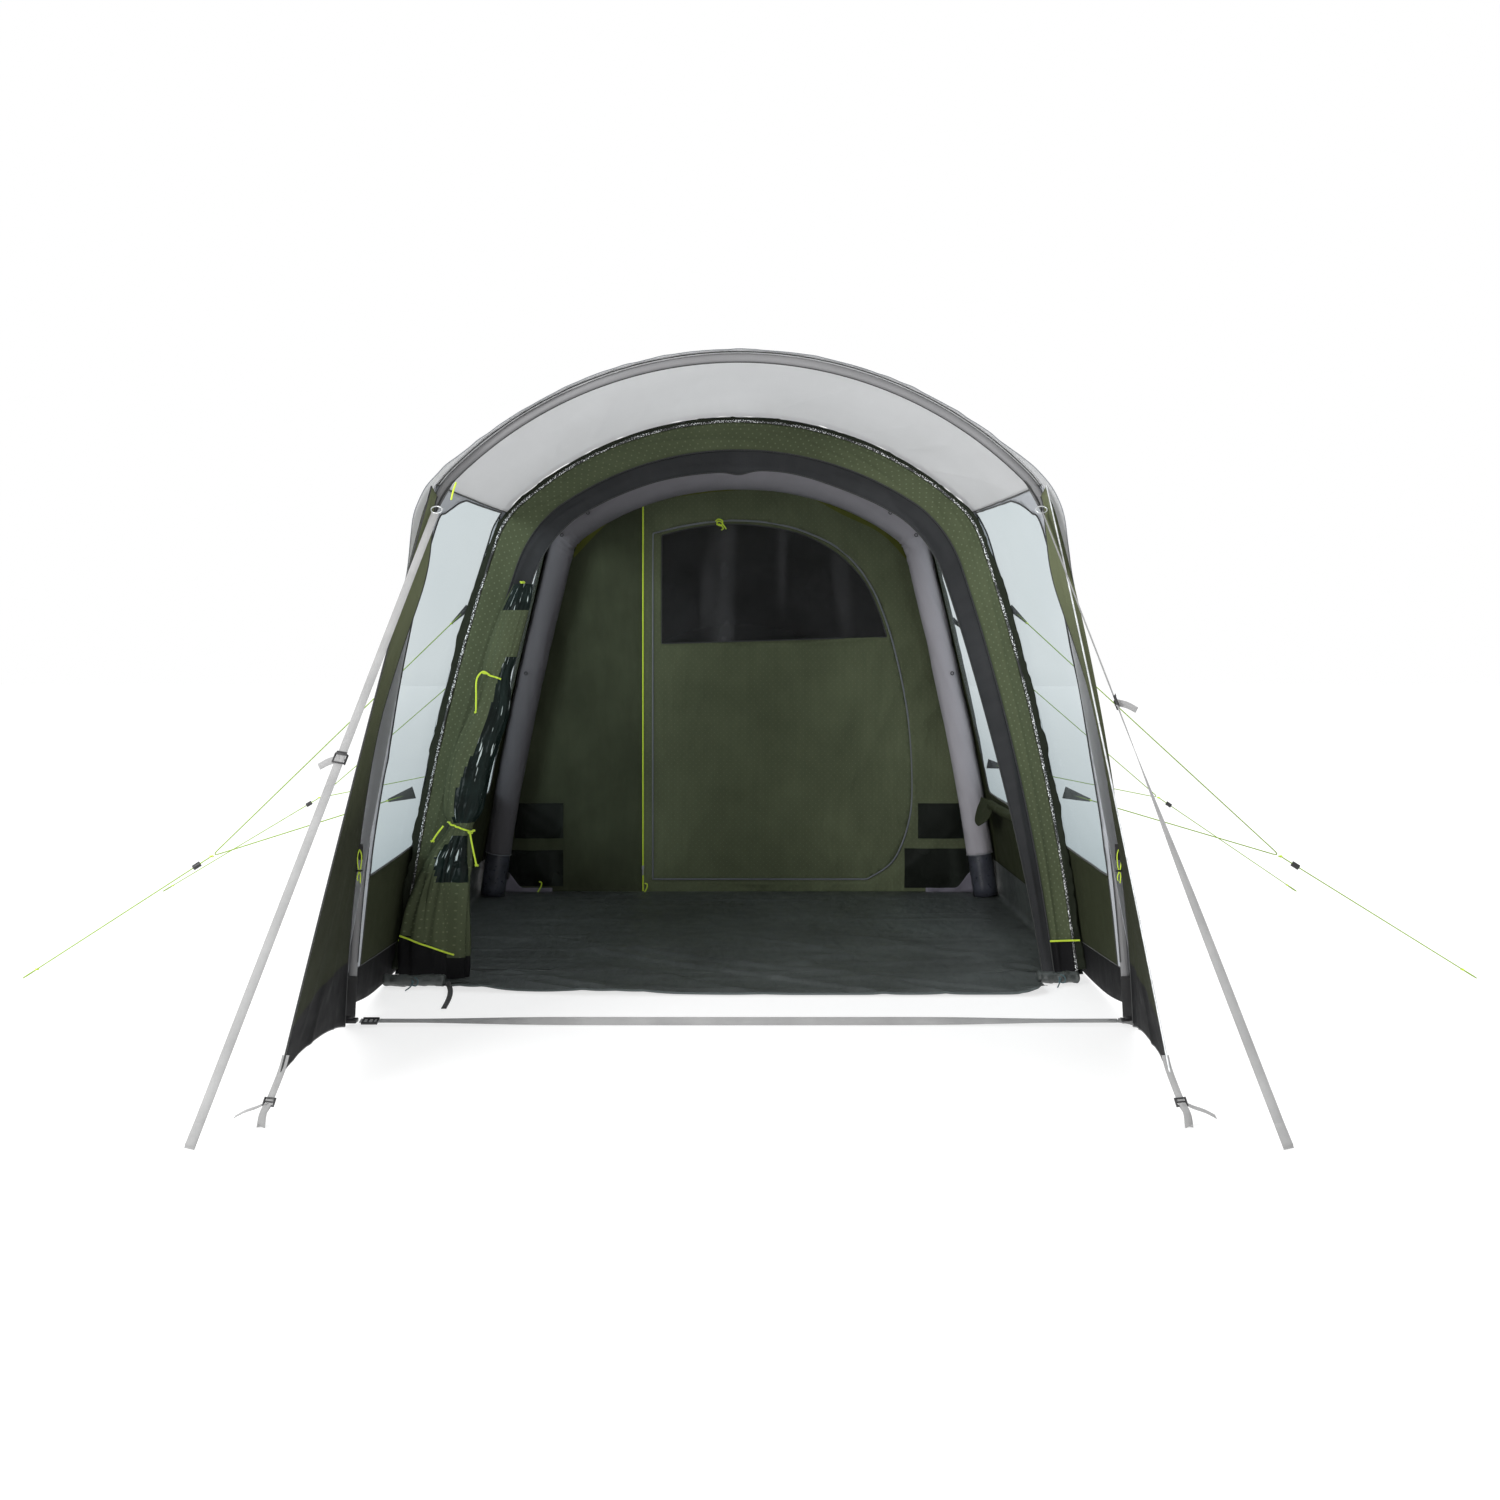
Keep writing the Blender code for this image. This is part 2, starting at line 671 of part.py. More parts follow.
def inner_door_outline():
    """The D of the sleeping-tent door, counter-clockwise from its lower left corner."""
    edge, foot = INNER_DOOR_EDGE_X, INNER_DOOR_FOOT_Z
    bow = smooth(
        (
            (0.62, foot), (0.75, 0.155), (0.828, 0.36), (0.838, 0.60), (0.812, 0.90), (0.736, 1.24),
            (0.635, 1.49), (0.50, 1.652), (0.33, 1.742), (0.15, 1.790), (-0.05, 1.802), (-0.24, 1.780),
            (edge, 1.740),
        ),
        2,
    )
    return [(edge, foot), *bow]


def mesh_window_outline():
    top = smooth(
        ((0.700, 1.210), (0.655, 1.350), (0.585, 1.490), (0.46, 1.615), (0.30, 1.705), (0.13, 1.748),
         (-0.05, 1.760), (-0.22, 1.742), (-0.358, 1.708)),
        1,
    )
    return [(-0.358, 1.210), *top]


def inner_tent():
    """The sleeping tent: body with floor, front wall, swinging door with its mesh window."""
    front = MIDDLE_HOOP.moved(INNER_WALL_Y + FABRIC, INNER_INSET)
    rear = REAR_HOOP.moved(INNER_REAR_Y, INNER_REAR_INSET)
    foot = INNER_FOOT
    places = [foot, *spread(0.04, 0.22, 3), *spread(0.25, 0.75, 10), *spread(0.78, 0.96, 3), 1 - foot]
    rows = [[front.at(s).lerp(rear.at(s), u) for s in places] for u in (0, 0.5, 1)]
    points, faces = grid(rows, closed=True)
    faces.append(ring_caps(rows)[1])
    build_mesh("inner_tent_body", points, faces, "inner_fabric", FABRIC)

    upright = Matrix.Translation((0, INNER_WALL_Y, 0)) @ STANDING
    outline = [tuple(front.flat(s)[0]) for s in reversed(places)]
    door = inner_door_outline()
    plate("inner_front_wall", outline, [door], FABRIC, upright, "inner_fabric")
    leaf = shrunk(door, DOOR_GAP)
    window = mesh_window_outline()
    hinge = Matrix.Translation((INNER_DOOR_EDGE_X, INNER_WALL_Y, 0)) @ STANDING
    local = [[(x - INNER_DOOR_EDGE_X, z) for x, z in loop] for loop in (leaf, window)]
    plate("inner_door", local[0], [local[1]], FABRIC, hinge, "inner_fabric")
    plate("inner_door_mesh", shrunk(local[1], DOOR_GAP), [], FABRIC / 2, hinge, "inner_mesh")


def box(name, size, centre, bevel, material_name):
    """A block with softened edges."""
    bpy.ops.mesh.primitive_cube_add(size=1)
    obj = bpy.context.object
    obj.name = name
    for collection in list(obj.users_collection):
        collection.objects.unlink(obj)
    tent.objects.link(obj)
    obj.data.transform(Matrix.Diagonal((*size, 1)))
    obj.data.transform(Matrix.Translation(centre))
    obj.data.materials.append(material(material_name))
    edge = obj.modifiers.new("edge", "BEVEL")
    edge.width = bevel
    edge.segments = 1
    return obj


def zip_parts():
    """The slider on the upright zip and the pull that hangs from it."""
    slider = box("zip_slider", (0.012, 0.009, 0.020), (0, -0.0065, 0), 0.002, "zip_metal")
    slider.location = (ZIP_X, INNER_WALL_Y, ZIP_Z)
    pull = box("zip_pull", (0.008, 0.002, 0.034), (0, 0, -0.017), 0.0006, "zip_metal")
    pull.location = (ZIP_X, INNER_WALL_Y - 0.0145, ZIP_Z - 0.002)


# ---------------------------------------------------------------------------
# Straps and guy lines


def frame_along(start, end, flat_to):
    """A frame whose Z runs from start to end and whose X is as near as it can be to a given direction."""
    z = (Vector(end) - Vector(start)).normalized()
    x = (Vector(flat_to) - z * z.dot(Vector(flat_to))).normalized()
    y = z.cross(x)
    return Matrix((x, y, z)).transposed().to_4x4()


def strap(name, start, end, flat_to, size, material_name):
    """A straight run of webbing."""
    start, end = Vector(start), Vector(end)
    frame = frame_along(start, end, flat_to)
    matrix = Matrix.Translation((start + end) / 2) @ frame
    return plate(name, rectangle(*size), [], (end - start).length, matrix, material_name)


def storm_straps():
    for side_name, side in SIDES.items():
        start = Vector((STORM_STRAP_TOP[0] * side, *STORM_STRAP_TOP[1:]))
        end = Vector((STORM_STRAP_END[0] * side, *STORM_STRAP_END[1:]))
        strap(f"storm_strap_{side_name}", start, end, (1, 0, 0), WEBBING, "webbing")
        centre = start.lerp(end, BUCKLE_PLACE[side_name])
        matrix = Matrix.Translation(centre) @ frame_along(start, end, (1, 0, 0))
        plate(
            f"strap_buckle_{side_name}", rectangle(*BUCKLE_OUTSIDE), [rectangle(*BUCKLE_SLOT)],
            BUCKLE_LENGTH, matrix, "buckle_plastic",
        )


def threshold_strap():
    lift = 0.001 + WEBBING[0] / 2
    left, right = (-THRESHOLD_HALF, POLE_Y, lift), (THRESHOLD_HALF, POLE_Y, lift)
    strap("threshold_strap", left, right, (0, 0, 1), WEBBING, "webbing")


def cord_path(points):
    """Straight runs between the points, each corner rounded over its own short reach."""
    path = [Vector(points[0])]
    for before, corner, after in zip(points, points[1:], points[2:]):
        before, corner, after = Vector(before), Vector(corner), Vector(after)
        near = corner + (before - corner).normalized() * LINE_CORNER
        far = corner + (after - corner).normalized() * LINE_CORNER
        path += [path[-1].lerp(near, share) for share in (0.25, 0.5, 0.75)]
        for t in spread(0, 1, 6):
            path.append(near * (1 - t) ** 2 + corner * (2 * t * (1 - t)) + far * t**2)
    last = Vector(points[-1])
    start = path[-1]
    path += [start.lerp(last, share) for share in (0.25, 0.5, 0.75, 1)]
    return path


#             upper tab              junction               lower tab              ground end
GUY_SETS = {
    "front_left": ((-1.020, -0.915, 1.310), (-1.866, -1.180, 0.425), (-1.205, -1.000, 0.630),
                   (-2.510, -1.220, 0.004)),
    "front_right": ((1.020, -0.915, 1.310), (1.915, -1.180, 0.425), (1.205, -1.000, 0.630),
                    (2.585, -1.220, 0.004)),
    "rear_left": ((-1.020, 0.400, 1.310), (-2.010, 0.460, 0.465), (-1.190, 0.400, 0.630),
                  (-2.790, 0.530, 0.004)),
    "rear_right": ((1.020, 0.400, 1.310), (2.010, 0.460, 0.465), (1.190, 0.400, 0.630),
                   (2.700, 0.530, 0.004)),
}


def guy_lines():
    """Each set is a V line from two tabs to its junction, and a main line on to the ground."""
    for name, (upper, junction, lower, end) in GUY_SETS.items():
        wire(f"guy_v_line_{name}", cord_path((upper, junction, lower)), LINE_RADIUS, "guy_cord", 2)
        start, end = Vector(junction), Vector(end)
        along = (end - start).normalized()
        run = [start.lerp(end, share) for share in spread(0, 1, 8)]
        wire(f"guy_main_line_{name}", run, LINE_RADIUS, "guy_cord", 2)
        centre = start + along * RUNNER_PLACE
        matrix = Matrix.Translation(centre) @ frame_along(start, end, (0, 0, 1))
        outline = [(x * RUNNER_STRETCH, y) for x, y in circle(RUNNER_RADIUS, 12)]
        bore = [circle(RUNNER_BORE, 8)]
        plate(f"guy_runner_{name}", outline, bore, RUNNER_LENGTH, matrix, "buckle_plastic")


clear_scene()
tent = bpy.data.collections.new("tunnel_tent")
bpy.context.scene.collection.children.link(tent)
front_pole()
air_tube("front", FRONT_HOOP.moved(FRONT_TUBE_Y, TUBE_INSET))
air_tube("middle", MIDDLE_HOOP.moved(MIDDLE_TUBE_Y, TUBE_INSET))
air_tube("rear", REAR_HOOP.moved(REAR_TUBE_Y, TUBE_INSET))
flysheet()
rear_wall()
for wing_side, wing_sign in SIDES.items():
    wing(wing_side, wing_sign)
door_arch()
rolled_door()
groundsheet()
inner_tent()
zip_parts()
storm_straps()
threshold_strap()
guy_lines()
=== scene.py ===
"""The looks of an inflatable tunnel tent with a front porch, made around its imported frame.

+X is the tent's right as seen from the porch, +Y runs from the porch to the rear wall and +Z is up.
Every length is in metres.
"""

import math

import bpy
import numpy as np
from mathutils import Matrix, Vector
from mathutils.geometry import delaunay_2d_cdt


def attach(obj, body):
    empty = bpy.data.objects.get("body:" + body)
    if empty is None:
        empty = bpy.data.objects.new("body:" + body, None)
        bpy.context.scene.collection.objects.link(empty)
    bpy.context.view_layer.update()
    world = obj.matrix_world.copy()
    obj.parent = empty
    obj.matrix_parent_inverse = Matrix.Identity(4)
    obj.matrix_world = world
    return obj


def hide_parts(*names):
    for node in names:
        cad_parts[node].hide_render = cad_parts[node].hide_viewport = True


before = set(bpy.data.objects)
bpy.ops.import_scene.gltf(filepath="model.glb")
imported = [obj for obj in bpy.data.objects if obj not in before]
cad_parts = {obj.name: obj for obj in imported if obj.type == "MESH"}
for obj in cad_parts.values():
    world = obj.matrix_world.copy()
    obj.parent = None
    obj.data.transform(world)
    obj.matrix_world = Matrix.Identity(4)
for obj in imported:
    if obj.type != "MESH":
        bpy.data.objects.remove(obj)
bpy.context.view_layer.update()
TENT = "tent"
SIDES = {"left": -1, "right": 1}

# Stations along the tent
POLE_Y = -1.80
CANOPY_EDGE_Y = -1.82
WING_EDGE_Y = -1.824
WING_TIP_Y = -2.60
PEG_Y = -2.698
DOOR_Y = -1.18
FRONT_TUBE_Y = -1.08
MIDDLE_TUBE_Y = 0.40
INNER_WALL_Y = 0.53
INNER_REAR_Y = 2.50
REAR_TUBE_Y = 2.625
REAR_Y = 2.70
FRONT_LEAN = 0.128
REAR_LEAN = -0.20

# Fabric and tubes
CLOTH = 0.0012
TUBE_RADIUS = 0.058
TUBE_INSET = 0.080
TUBE_RISE = 0.013
SHEET_FRONT_Y = -1.455
TUBE_FOOT_Z = 0.022
SLEEVE_RADIUS = 0.0605
SLEEVE_END_Z = 0.22
POLE_INSET = 0.0195
POLE_SLEEVE = (0.0135, 0.010)
POLE_SLEEVE_FOOT_Z = 0.145
PORCH_HEIGHT = 1.650
LIVING_HEIGHT = 1.705
BEDROOM_HEIGHT = 1.44
WALL_TOP = 1.034

# Straps and lines
WEBBING = (0.025, 0.0016)
STORM_STRAP_TOP = (0.914, -1.868, 1.560)
STORM_STRAP_END = (1.250, -2.830, 0.003)
BUCKLE_PLACE = {"left": 0.455, "right": 0.36}
THRESHOLD_HALF = 1.160
LINE = 0.004
LINE_CORNER = 0.03
ZIP_X = -0.465


# ---------------------------------------------------------------------------
# Shapes shared with the frame


class Hoop:
    """A section of the tunnel; s runs from its left foot, 0, over the shoulders, 0.25 and 0.75, to 1."""

    def __init__(self, y, foot, shoulder, apex, bow, corner=0.08, lean=0.0, inset=0.0):
        self.y, self.foot, self.shoulder, self.apex = y, foot, Vector(shoulder), apex
        self.bow, self.corner, self.lean, self.inset = bow, corner, lean, inset
        rise = apex - self.shoulder.y
        self.radius = (self.shoulder.x**2 + rise**2) / (2 * rise)
        self.angle = math.asin(self.shoulder.x / self.radius)
        self.leg_cut = corner / math.hypot(foot - self.shoulder.x, self.shoulder.y)
        self.top_cut = corner / (self.radius * self.angle)
        self.stops = np.linspace(0, 1, 1201)
        flats = [self.flat(s) for s in self.stops]
        self.place = np.array([(p.x, y + lean * p.y, p.y) for p, _ in flats])
        inner = np.array([(n.x, lean * n.y, n.y) for _, n in flats])
        self.normal = inner / np.linalg.norm(inner, axis=1)[:, None]

    def moved(self, y, inset):
        """The same section at another station, drawn in by an inset."""
        return Hoop(y, self.foot, self.shoulder, self.apex, self.bow, self.corner, self.lean, inset)

    def leg(self, v):
        x = self.foot + (self.shoulder.x - self.foot) * v + 4 * self.bow * v * (1 - v)
        return Vector((x, self.shoulder.y * v))

    def top(self, w):
        angle = w * self.angle
        return Vector((self.radius * math.sin(angle), self.apex - self.radius * (1 - math.cos(angle))))

    def half(self, q):
        low, high = 0.5 - self.top_cut / 2, 0.5 + self.leg_cut / 2
        if q <= low:
            return self.top(2 * q)
        if q >= high:
            return self.leg(2 * (1 - q))
        t = (q - low) / (high - low)
        return rounded_corner(self.top(1 - self.top_cut), self.shoulder, self.leg(1 - self.leg_cut), t)

    def flat(self, s):
        """The point at s and the inward direction there, in the section's own plane."""
        q, side = abs(2 * s - 1), 1 if s >= 0.5 else -1
        along = (self.half(q + 0.002) - self.half(q - 0.002)).normalized()
        inward = Vector((along.y, -along.x))
        point = self.half(q) + inward * self.inset
        return Vector((point.x * side, point.y)), Vector((inward.x * side, inward.y))

    def read(self, table, s):
        return np.stack([np.interp(s, self.stops, table[:, k]) for k in range(3)], axis=-1)

    def points(self, s):
        return self.read(self.place, s)

    def inwards(self, s):
        return self.read(self.normal, s)

    def at_height(self, side, height):
        """The s of a height on one side's leg."""
        s = height / self.shoulder.y / 4
        return s if side < 0 else 1 - s

    def across(self):
        return np.array(Vector((0, 1, -self.lean)).normalized())


def rounded_corner(start, corner, end, t):
    """The point at t, from 0 to 1, on the curve that rounds a corner."""
    return start * (1 - t) ** 2 + corner * (2 * t * (1 - t)) + end * t**2


CANOPY_HOOP = Hoop(CANOPY_EDGE_Y, 1.210, (0.945, 1.635), 2.062, 0.050)
FRONT_HOOP = Hoop(FRONT_TUBE_Y, 1.235, (0.900, 1.665), 2.050, 0.052, lean=FRONT_LEAN)
MIDDLE_HOOP = Hoop(MIDDLE_TUBE_Y, 1.252, (0.898, 1.745), 2.062, 0.030, corner=0.10)
REAR_HOOP = Hoop(REAR_Y, 1.080, (0.800, 1.130), 1.440, 0.040, lean=REAR_LEAN)
DOOR_OUTER = Hoop(DOOR_Y, 1.224, (0.897, 1.650), 2.040, 0.050, lean=FRONT_LEAN)
DOOR_MIDDLE = Hoop(DOOR_Y, 1.115, (0.775, 1.600), 1.901, 0.045, 0.14, FRONT_LEAN)
DOOR_INNER = Hoop(DOOR_Y, 1.080, (0.710, 1.555), 1.825, 0.035, 0.14, FRONT_LEAN)


def smooth(points, steps=6):
    """A Catmull-Rom curve through the points, from the first to the last."""
    knots = np.array([points[0], *points, points[-1]], float)
    curve = []
    for a, b, c, d in zip(knots, knots[1:], knots[2:], knots[3:]):
        for t in np.arange(steps) / steps:
            pull = (c - a) * t + (2 * a - 5 * b + 4 * c - d) * t**2 + (3 * b - a - 3 * c + d) * t**3
            curve.append(b + pull / 2)
    return np.array([*curve, knots[-2]])


def line_lengths(points):
    """The distance along a line to each of its points."""
    return np.concatenate([[0], np.cumsum(np.linalg.norm(np.diff(points, axis=0), axis=1))])


def dense(line, step):
    """A line with points about a step apart."""
    line = np.asarray(line, float)
    along = line_lengths(line)
    at = np.linspace(0, along[-1], max(2, int(along[-1] / step) + 1))
    return np.stack([np.interp(at, along, line[:, k]) for k in range(line.shape[1])], axis=1)


def straight(start, end, count):
    return [start.lerp(end, share) for share in np.linspace(0, 1, count)]


def circle(count):
    """Angles round a full turn."""
    return np.linspace(0, 2 * math.pi, count, endpoint=False)


def oval(centre, u, v, count):
    """A closed ring of points with two half axes."""
    return [centre + u * math.cos(a) + v * math.sin(a) for a in circle(count)]


def noise(x, y, seed=0):
    """Smooth noise from -1 to 1 whose bumps are about 1 across."""
    x, y = np.broadcast_arrays(x, y)
    column, row = np.floor(x).astype(np.int64), np.floor(y).astype(np.int64)
    fx, fy = x - column, y - row
    fx, fy = fx * fx * (3 - 2 * fx), fy * fy * (3 - 2 * fy)

    def value(i, j):
        mixed = (i * 374761393 + j * 668265263 + seed * 1442695041) & 0xFFFFFFFF
        mixed = ((mixed ^ (mixed >> 13)) * 1274126177) & 0xFFFFFFFF
        return ((mixed ^ (mixed >> 16)) & 0xFFFF) / 32767.5 - 1

    near = value(column, row) * (1 - fx) + value(column + 1, row) * fx
    far = value(column, row + 1) * (1 - fx) + value(column + 1, row + 1) * fx
    return near * (1 - fy) + far * fy


def crease(x, y, seed=0, sharp=3):
    """Thin raised folds, from 0 to 1."""
    return (1 - np.abs(noise(x, y, seed))) ** sharp


def fade(value, low, high):
    """0 below low, 1 above high, smooth between."""
    t = np.clip((value - low) / (high - low), 0, 1)
    return t * t * (3 - 2 * t)


# ---------------------------------------------------------------------------
# Materials


def rgb(r, g, b):
    return (r, g, b, 1.0)


def grey(value):
    return rgb(value, value, value)


def shade(colour, share):
    return rgb(*(min(1.0, c * share) for c in colour[:3]))


class Look:
    """A material's nodes. Its coordinates are a piece's flat cut in metres, or the frame's own."""

    def __init__(self, cut=True):
        self.material = bpy.data.materials.new("look")
        self.material.use_nodes = True
        self.tree = self.material.node_tree
        self.shader = self.tree.nodes["Principled BSDF"]
        if cut:
            self.uv = self.add("UVMap", uv_map="cut").outputs["UV"]
        else:
            self.uv = self.add("TexCoord").outputs["Object"]

    def feed(self, socket, value):
        if isinstance(value, bpy.types.NodeSocket):
            self.tree.links.new(value, socket)
        else:
            socket.default_value = value

    def add(self, kind, inputs=None, **settings):
        node = self.tree.nodes.new("ShaderNode" + kind)
        for key, value in settings.items():
            setattr(node, key, value)
        for key, value in (inputs or {}).items():
            self.feed(node.inputs[key], value)
        return node

    def made(self, **inputs):
        """Fills in the main shader's inputs and returns the material."""
        for key, value in inputs.items():
            self.feed(self.shader.inputs[key.replace("_", " ")], value)
        return self.material

    def lets_through(self, share, kind, **inputs):
        """Mixes a share of a see-through shader into the surface."""
        other = self.add(kind, inputs)
        both = self.add("MixShader", {0: share, 1: self.shader.outputs[0], 2: other.outputs[0]})
        self.feed(self.tree.nodes["Material Output"].inputs["Surface"], both.outputs[0])

    def parts(self):
        return self.add("SeparateXYZ", {0: self.uv}).outputs

    def noise(self, scale, detail=2.0, stretch=(1, 1, 1), turn=0.0):
        mapped = self.add("Mapping", {"Vector": self.uv, "Rotation": (0, 0, turn), "Scale": stretch})
        inputs = {"Vector": mapped.outputs[0], "Scale": scale, "Detail": detail}
        return self.add("TexNoise", inputs).outputs["Fac"]

    def cloud(self, scale, low=0.3, high=0.7, to_low=0.0, to_high=1.0, detail=3.0):
        """Broad noise, spread over a range."""
        return self.scaled(self.noise(scale, detail), low, high, to_low, to_high)

    def maths(self, operation, a, b=0.0):
        return self.add("Math", {0: a, 1: b}, operation=operation).outputs[0]

    def scaled(self, value, low, high, to_low=0.0, to_high=1.0):
        return self.add("MapRange", {
            "Value": value, "From Min": low, "From Max": high, "To Min": to_low, "To Max": to_high,
        }).outputs[0]

    def mix(self, share, a, b, mode="MIX"):
        return self.add("Mix", {0: share, 6: a, 7: b}, data_type="RGBA", blend_type=mode).outputs[2]

    def bump(self, height, distance, onto=None):
        inputs = {"Height": height, "Distance": distance, "Strength": 1.0}
        if onto is not None:
            inputs["Normal"] = onto
        return self.add("Bump", inputs).outputs[0]

    def dots(self, spacing, size):
        """Round dots in a slanting square net, 1 inside a dot."""
        turned = self.add("Mapping", {"Vector": self.uv, "Rotation": (0, 0, math.pi / 4)}).outputs[0]
        inputs = {"Vector": turned, "Scale": 1 / spacing, "Randomness": 0.0}
        cell = self.add("TexVoronoi", inputs, voronoi_dimensions="2D")
        return self.scaled(cell.outputs["Distance"], size / spacing, size / spacing * 0.6)

    def net(self, spacing, width):
        """Thin crossing yarns, 1 on a yarn."""
        places = self.parts()
        lines = []
        for axis in (0, 1):
            share = self.maths("FRACT", self.maths("DIVIDE", places[axis], spacing))
            lines.append(self.maths("LESS_THAN", share, width / spacing))
        return self.maths("MAXIMUM", *lines)


def cloth_look(colour, roughness, uneven, dots=0.0, net=0.0, folds=0.004, see=0.0, shine=0.12, painted_light_ramp=None):
    """Coated polyester: uneven dye, a printed or woven pattern, fine yarns and soft folds.

    A ramp is painted light and shade: two heights of the cut and the shades that the colour is scaled by
    between them, lighter where more light falls.
    """
    look = Look()
    streak = look.noise(26.0, 2.0, (1.0, 0.12, 1.0))
    dark, pale = shade(colour, 1 - uneven), shade(colour, 1 + uneven)
    base = look.mix(look.cloud(2.3, detail=4.0), dark, pale)
    base = look.mix(look.scaled(streak, 0.35, 0.75, 0.0, 0.35), base, dark)
    if dots:
        share = look.maths("MULTIPLY", look.dots(0.021, 0.0033), dots)
        base = look.mix(share, base, rgb(*(c * 2.1 + 0.02 for c in colour[:3])))
    yarn = look.net(0.0052, 0.0007)
    if net:
        base = look.mix(look.maths("MULTIPLY", yarn, net), base, shade(colour, 1.5))
    # Painted light and shade: the ramp scales the colour up or down along the cut.
    if painted_light_ramp:
        low, high, first, last = painted_light_ramp
        painted_light_tone = look.mix(look.scaled(look.parts()[1], low, high), grey(first), grey(last))
        base = look.mix(1.0, base, painted_light_tone, "MULTIPLY")
    normal = look.bump(look.noise(9.0, 3.0, (1.0, 0.45, 1.0), 0.5), folds)
    normal = look.bump(look.maths("ADD", look.noise(1400.0, 1.0), yarn), 0.0003, normal)
    rough = look.cloud(14.0, to_low=roughness - 0.08, to_high=roughness + 0.08)
    if see:
        look.lets_through(see, "BsdfTranslucent", Color=base, Normal=normal)
    return look.made(Base_Color=base, Roughness=rough, Normal=normal, Specular_IOR_Level=shine)


def film_look():
    """Tinted window film: clear enough to see the lines outside, with soft ripples in its gloss."""
    look = Look()
    tint = look.mix(look.cloud(1.4, detail=2.0), rgb(0.66, 0.73, 0.75), rgb(0.72, 0.78, 0.80))
    # Darker towards the bottom of the pane: painted shade.
    tint = look.mix(look.scaled(look.parts()[1], 0.45, 1.1), rgb(0.35, 0.41, 0.43), tint)
    look.lets_through(0.82, "BsdfTransparent", Color=tint)
    ripple = look.bump(look.noise(3.0), 0.006)
    return look.made(Base_Color=rgb(0.55, 0.61, 0.63), Roughness=0.12, Normal=ripple)


def vinyl_look():
    """Crumpled clear film lying over dark cloth: nearly black, with sparse sharp white glints painted into
    its colour.
    """
    look = Look()
    wide = look.bump(look.noise(24.0, 3.0, (1.0, 0.5, 1.0), 0.3), 0.008)
    tint = look.mix(look.cloud(8.0, 0.4), rgb(0.003, 0.006, 0.005), rgb(0.009, 0.017, 0.015))
    # Painted highlights: thin white streaks mixed into the base colour as glints.
    streak = look.scaled(look.noise(75.0, 3.0, (1.0, 0.12, 1.0), 0.9), 0.630, 0.67)
    tint = look.mix(streak, tint, rgb(0.50, 0.56, 0.55))
    return look.made(Base_Color=tint, Roughness=0.30, Normal=wide, Specular_IOR_Level=0.10)


def mesh_look(colour, alpha=0.82):
    """Fine insect mesh."""
    look = Look()
    base = look.mix(look.cloud(3.0, 0.35), shade(colour, 0.7), shade(colour, 1.5))
    # Painted light: lighter slanting streaks where the mesh's folds catch the light.
    painted_fold_light = look.scaled(look.noise(5.0, 2.0, (1.0, 0.12, 1.0), 0.7), 0.54, 0.66, 0.0, 0.7)
    base = look.mix(painted_fold_light, base, shade(colour, 5.5))
    base = look.mix(look.maths("MULTIPLY", look.net(0.0022, 0.0008), 0.4), base, shade(colour, 2.0))
    opening = look.cloud(3.0, to_low=alpha - 0.06, to_high=alpha + 0.06, detail=2.0)
    normal = look.bump(look.noise(7.0, 3.0, (1.0, 0.4, 1.0), 0.7), 0.006)
    return look.made(Base_Color=base, Roughness=0.6, Alpha=opening, Normal=normal, Specular_IOR_Level=0.1)


def webbing_look(colour):
    """Woven webbing with ribs across it."""
    look = Look()
    places = look.parts()
    rib = look.maths("SINE", look.maths("MULTIPLY", places[1], 2 * math.pi / 0.0024))
    row = look.maths("SINE", look.maths("MULTIPLY", places[0], 2 * math.pi / 0.0020))
    height = look.maths("ADD", rib, look.maths("MULTIPLY", row, 0.6))
    base = look.mix(look.cloud(9.0), shade(colour, 0.86), shade(colour, 1.08))
    base = look.mix(look.scaled(height, -1.6, 1.6, 0.0, 0.25), base, shade(colour, 0.7))
    return look.made(Base_Color=base, Roughness=0.8, Normal=look.bump(height, 0.0002), Sheen_Weight=0.2)


def plain_look(colour, roughness, metallic=0.0, grain=220.0, depth=0.0002, coat=0.0):
    """Moulded plastic, rod or metal with a fine grain and rubbed places."""
    look = Look(cut=False)
    base = look.mix(look.cloud(30.0, 0.35), shade(colour, 0.85), shade(colour, 1.25))
    rough = look.cloud(60.0, to_low=roughness - 0.07, to_high=roughness + 0.1)
    return look.made(Base_Color=base, Roughness=rough, Metallic=metallic, Coat_Weight=coat,
                     Normal=look.bump(look.noise(grain), depth))


def cord_look(colour, fleck):
    """Braided cord: small flecks across a bright sheath."""
    look = Look(cut=False)
    braid = look.noise(900.0, 1.0)
    base = look.mix(look.scaled(braid, 0.52, 0.66, 0.0, 0.5), colour, fleck)
    return look.made(Base_Color=base, Roughness=0.65, Normal=look.bump(braid, 0.0004), Sheen_Weight=0.2)


def zip_look():
    """A zip's edge tape: black, with white glints on its teeth painted into its colour here and there."""
    look = Look()
    glint = look.noise(210.0, 1.0)
    shine = look.cloud(7.0, 0.38, 0.50, detail=2.0)
    # Painted highlights: the glint specks are white in the base colour.
    bright = look.maths("MULTIPLY", look.scaled(glint, 0.55, 0.58), shine)
    base = look.mix(bright, rgb(0.008, 0.009, 0.008), rgb(0.86, 0.88, 0.88))
    return look.made(Base_Color=base, Roughness=0.5, Normal=look.bump(glint, 0.0012))


def floor_look():
    look = Look(cut=False)
    base = look.mix(look.noise(0.6), grey(0.31), grey(0.33))
    return look.made(Base_Color=base, Roughness=0.9, Emission_Color=grey(1.0), Emission_Strength=0.70)


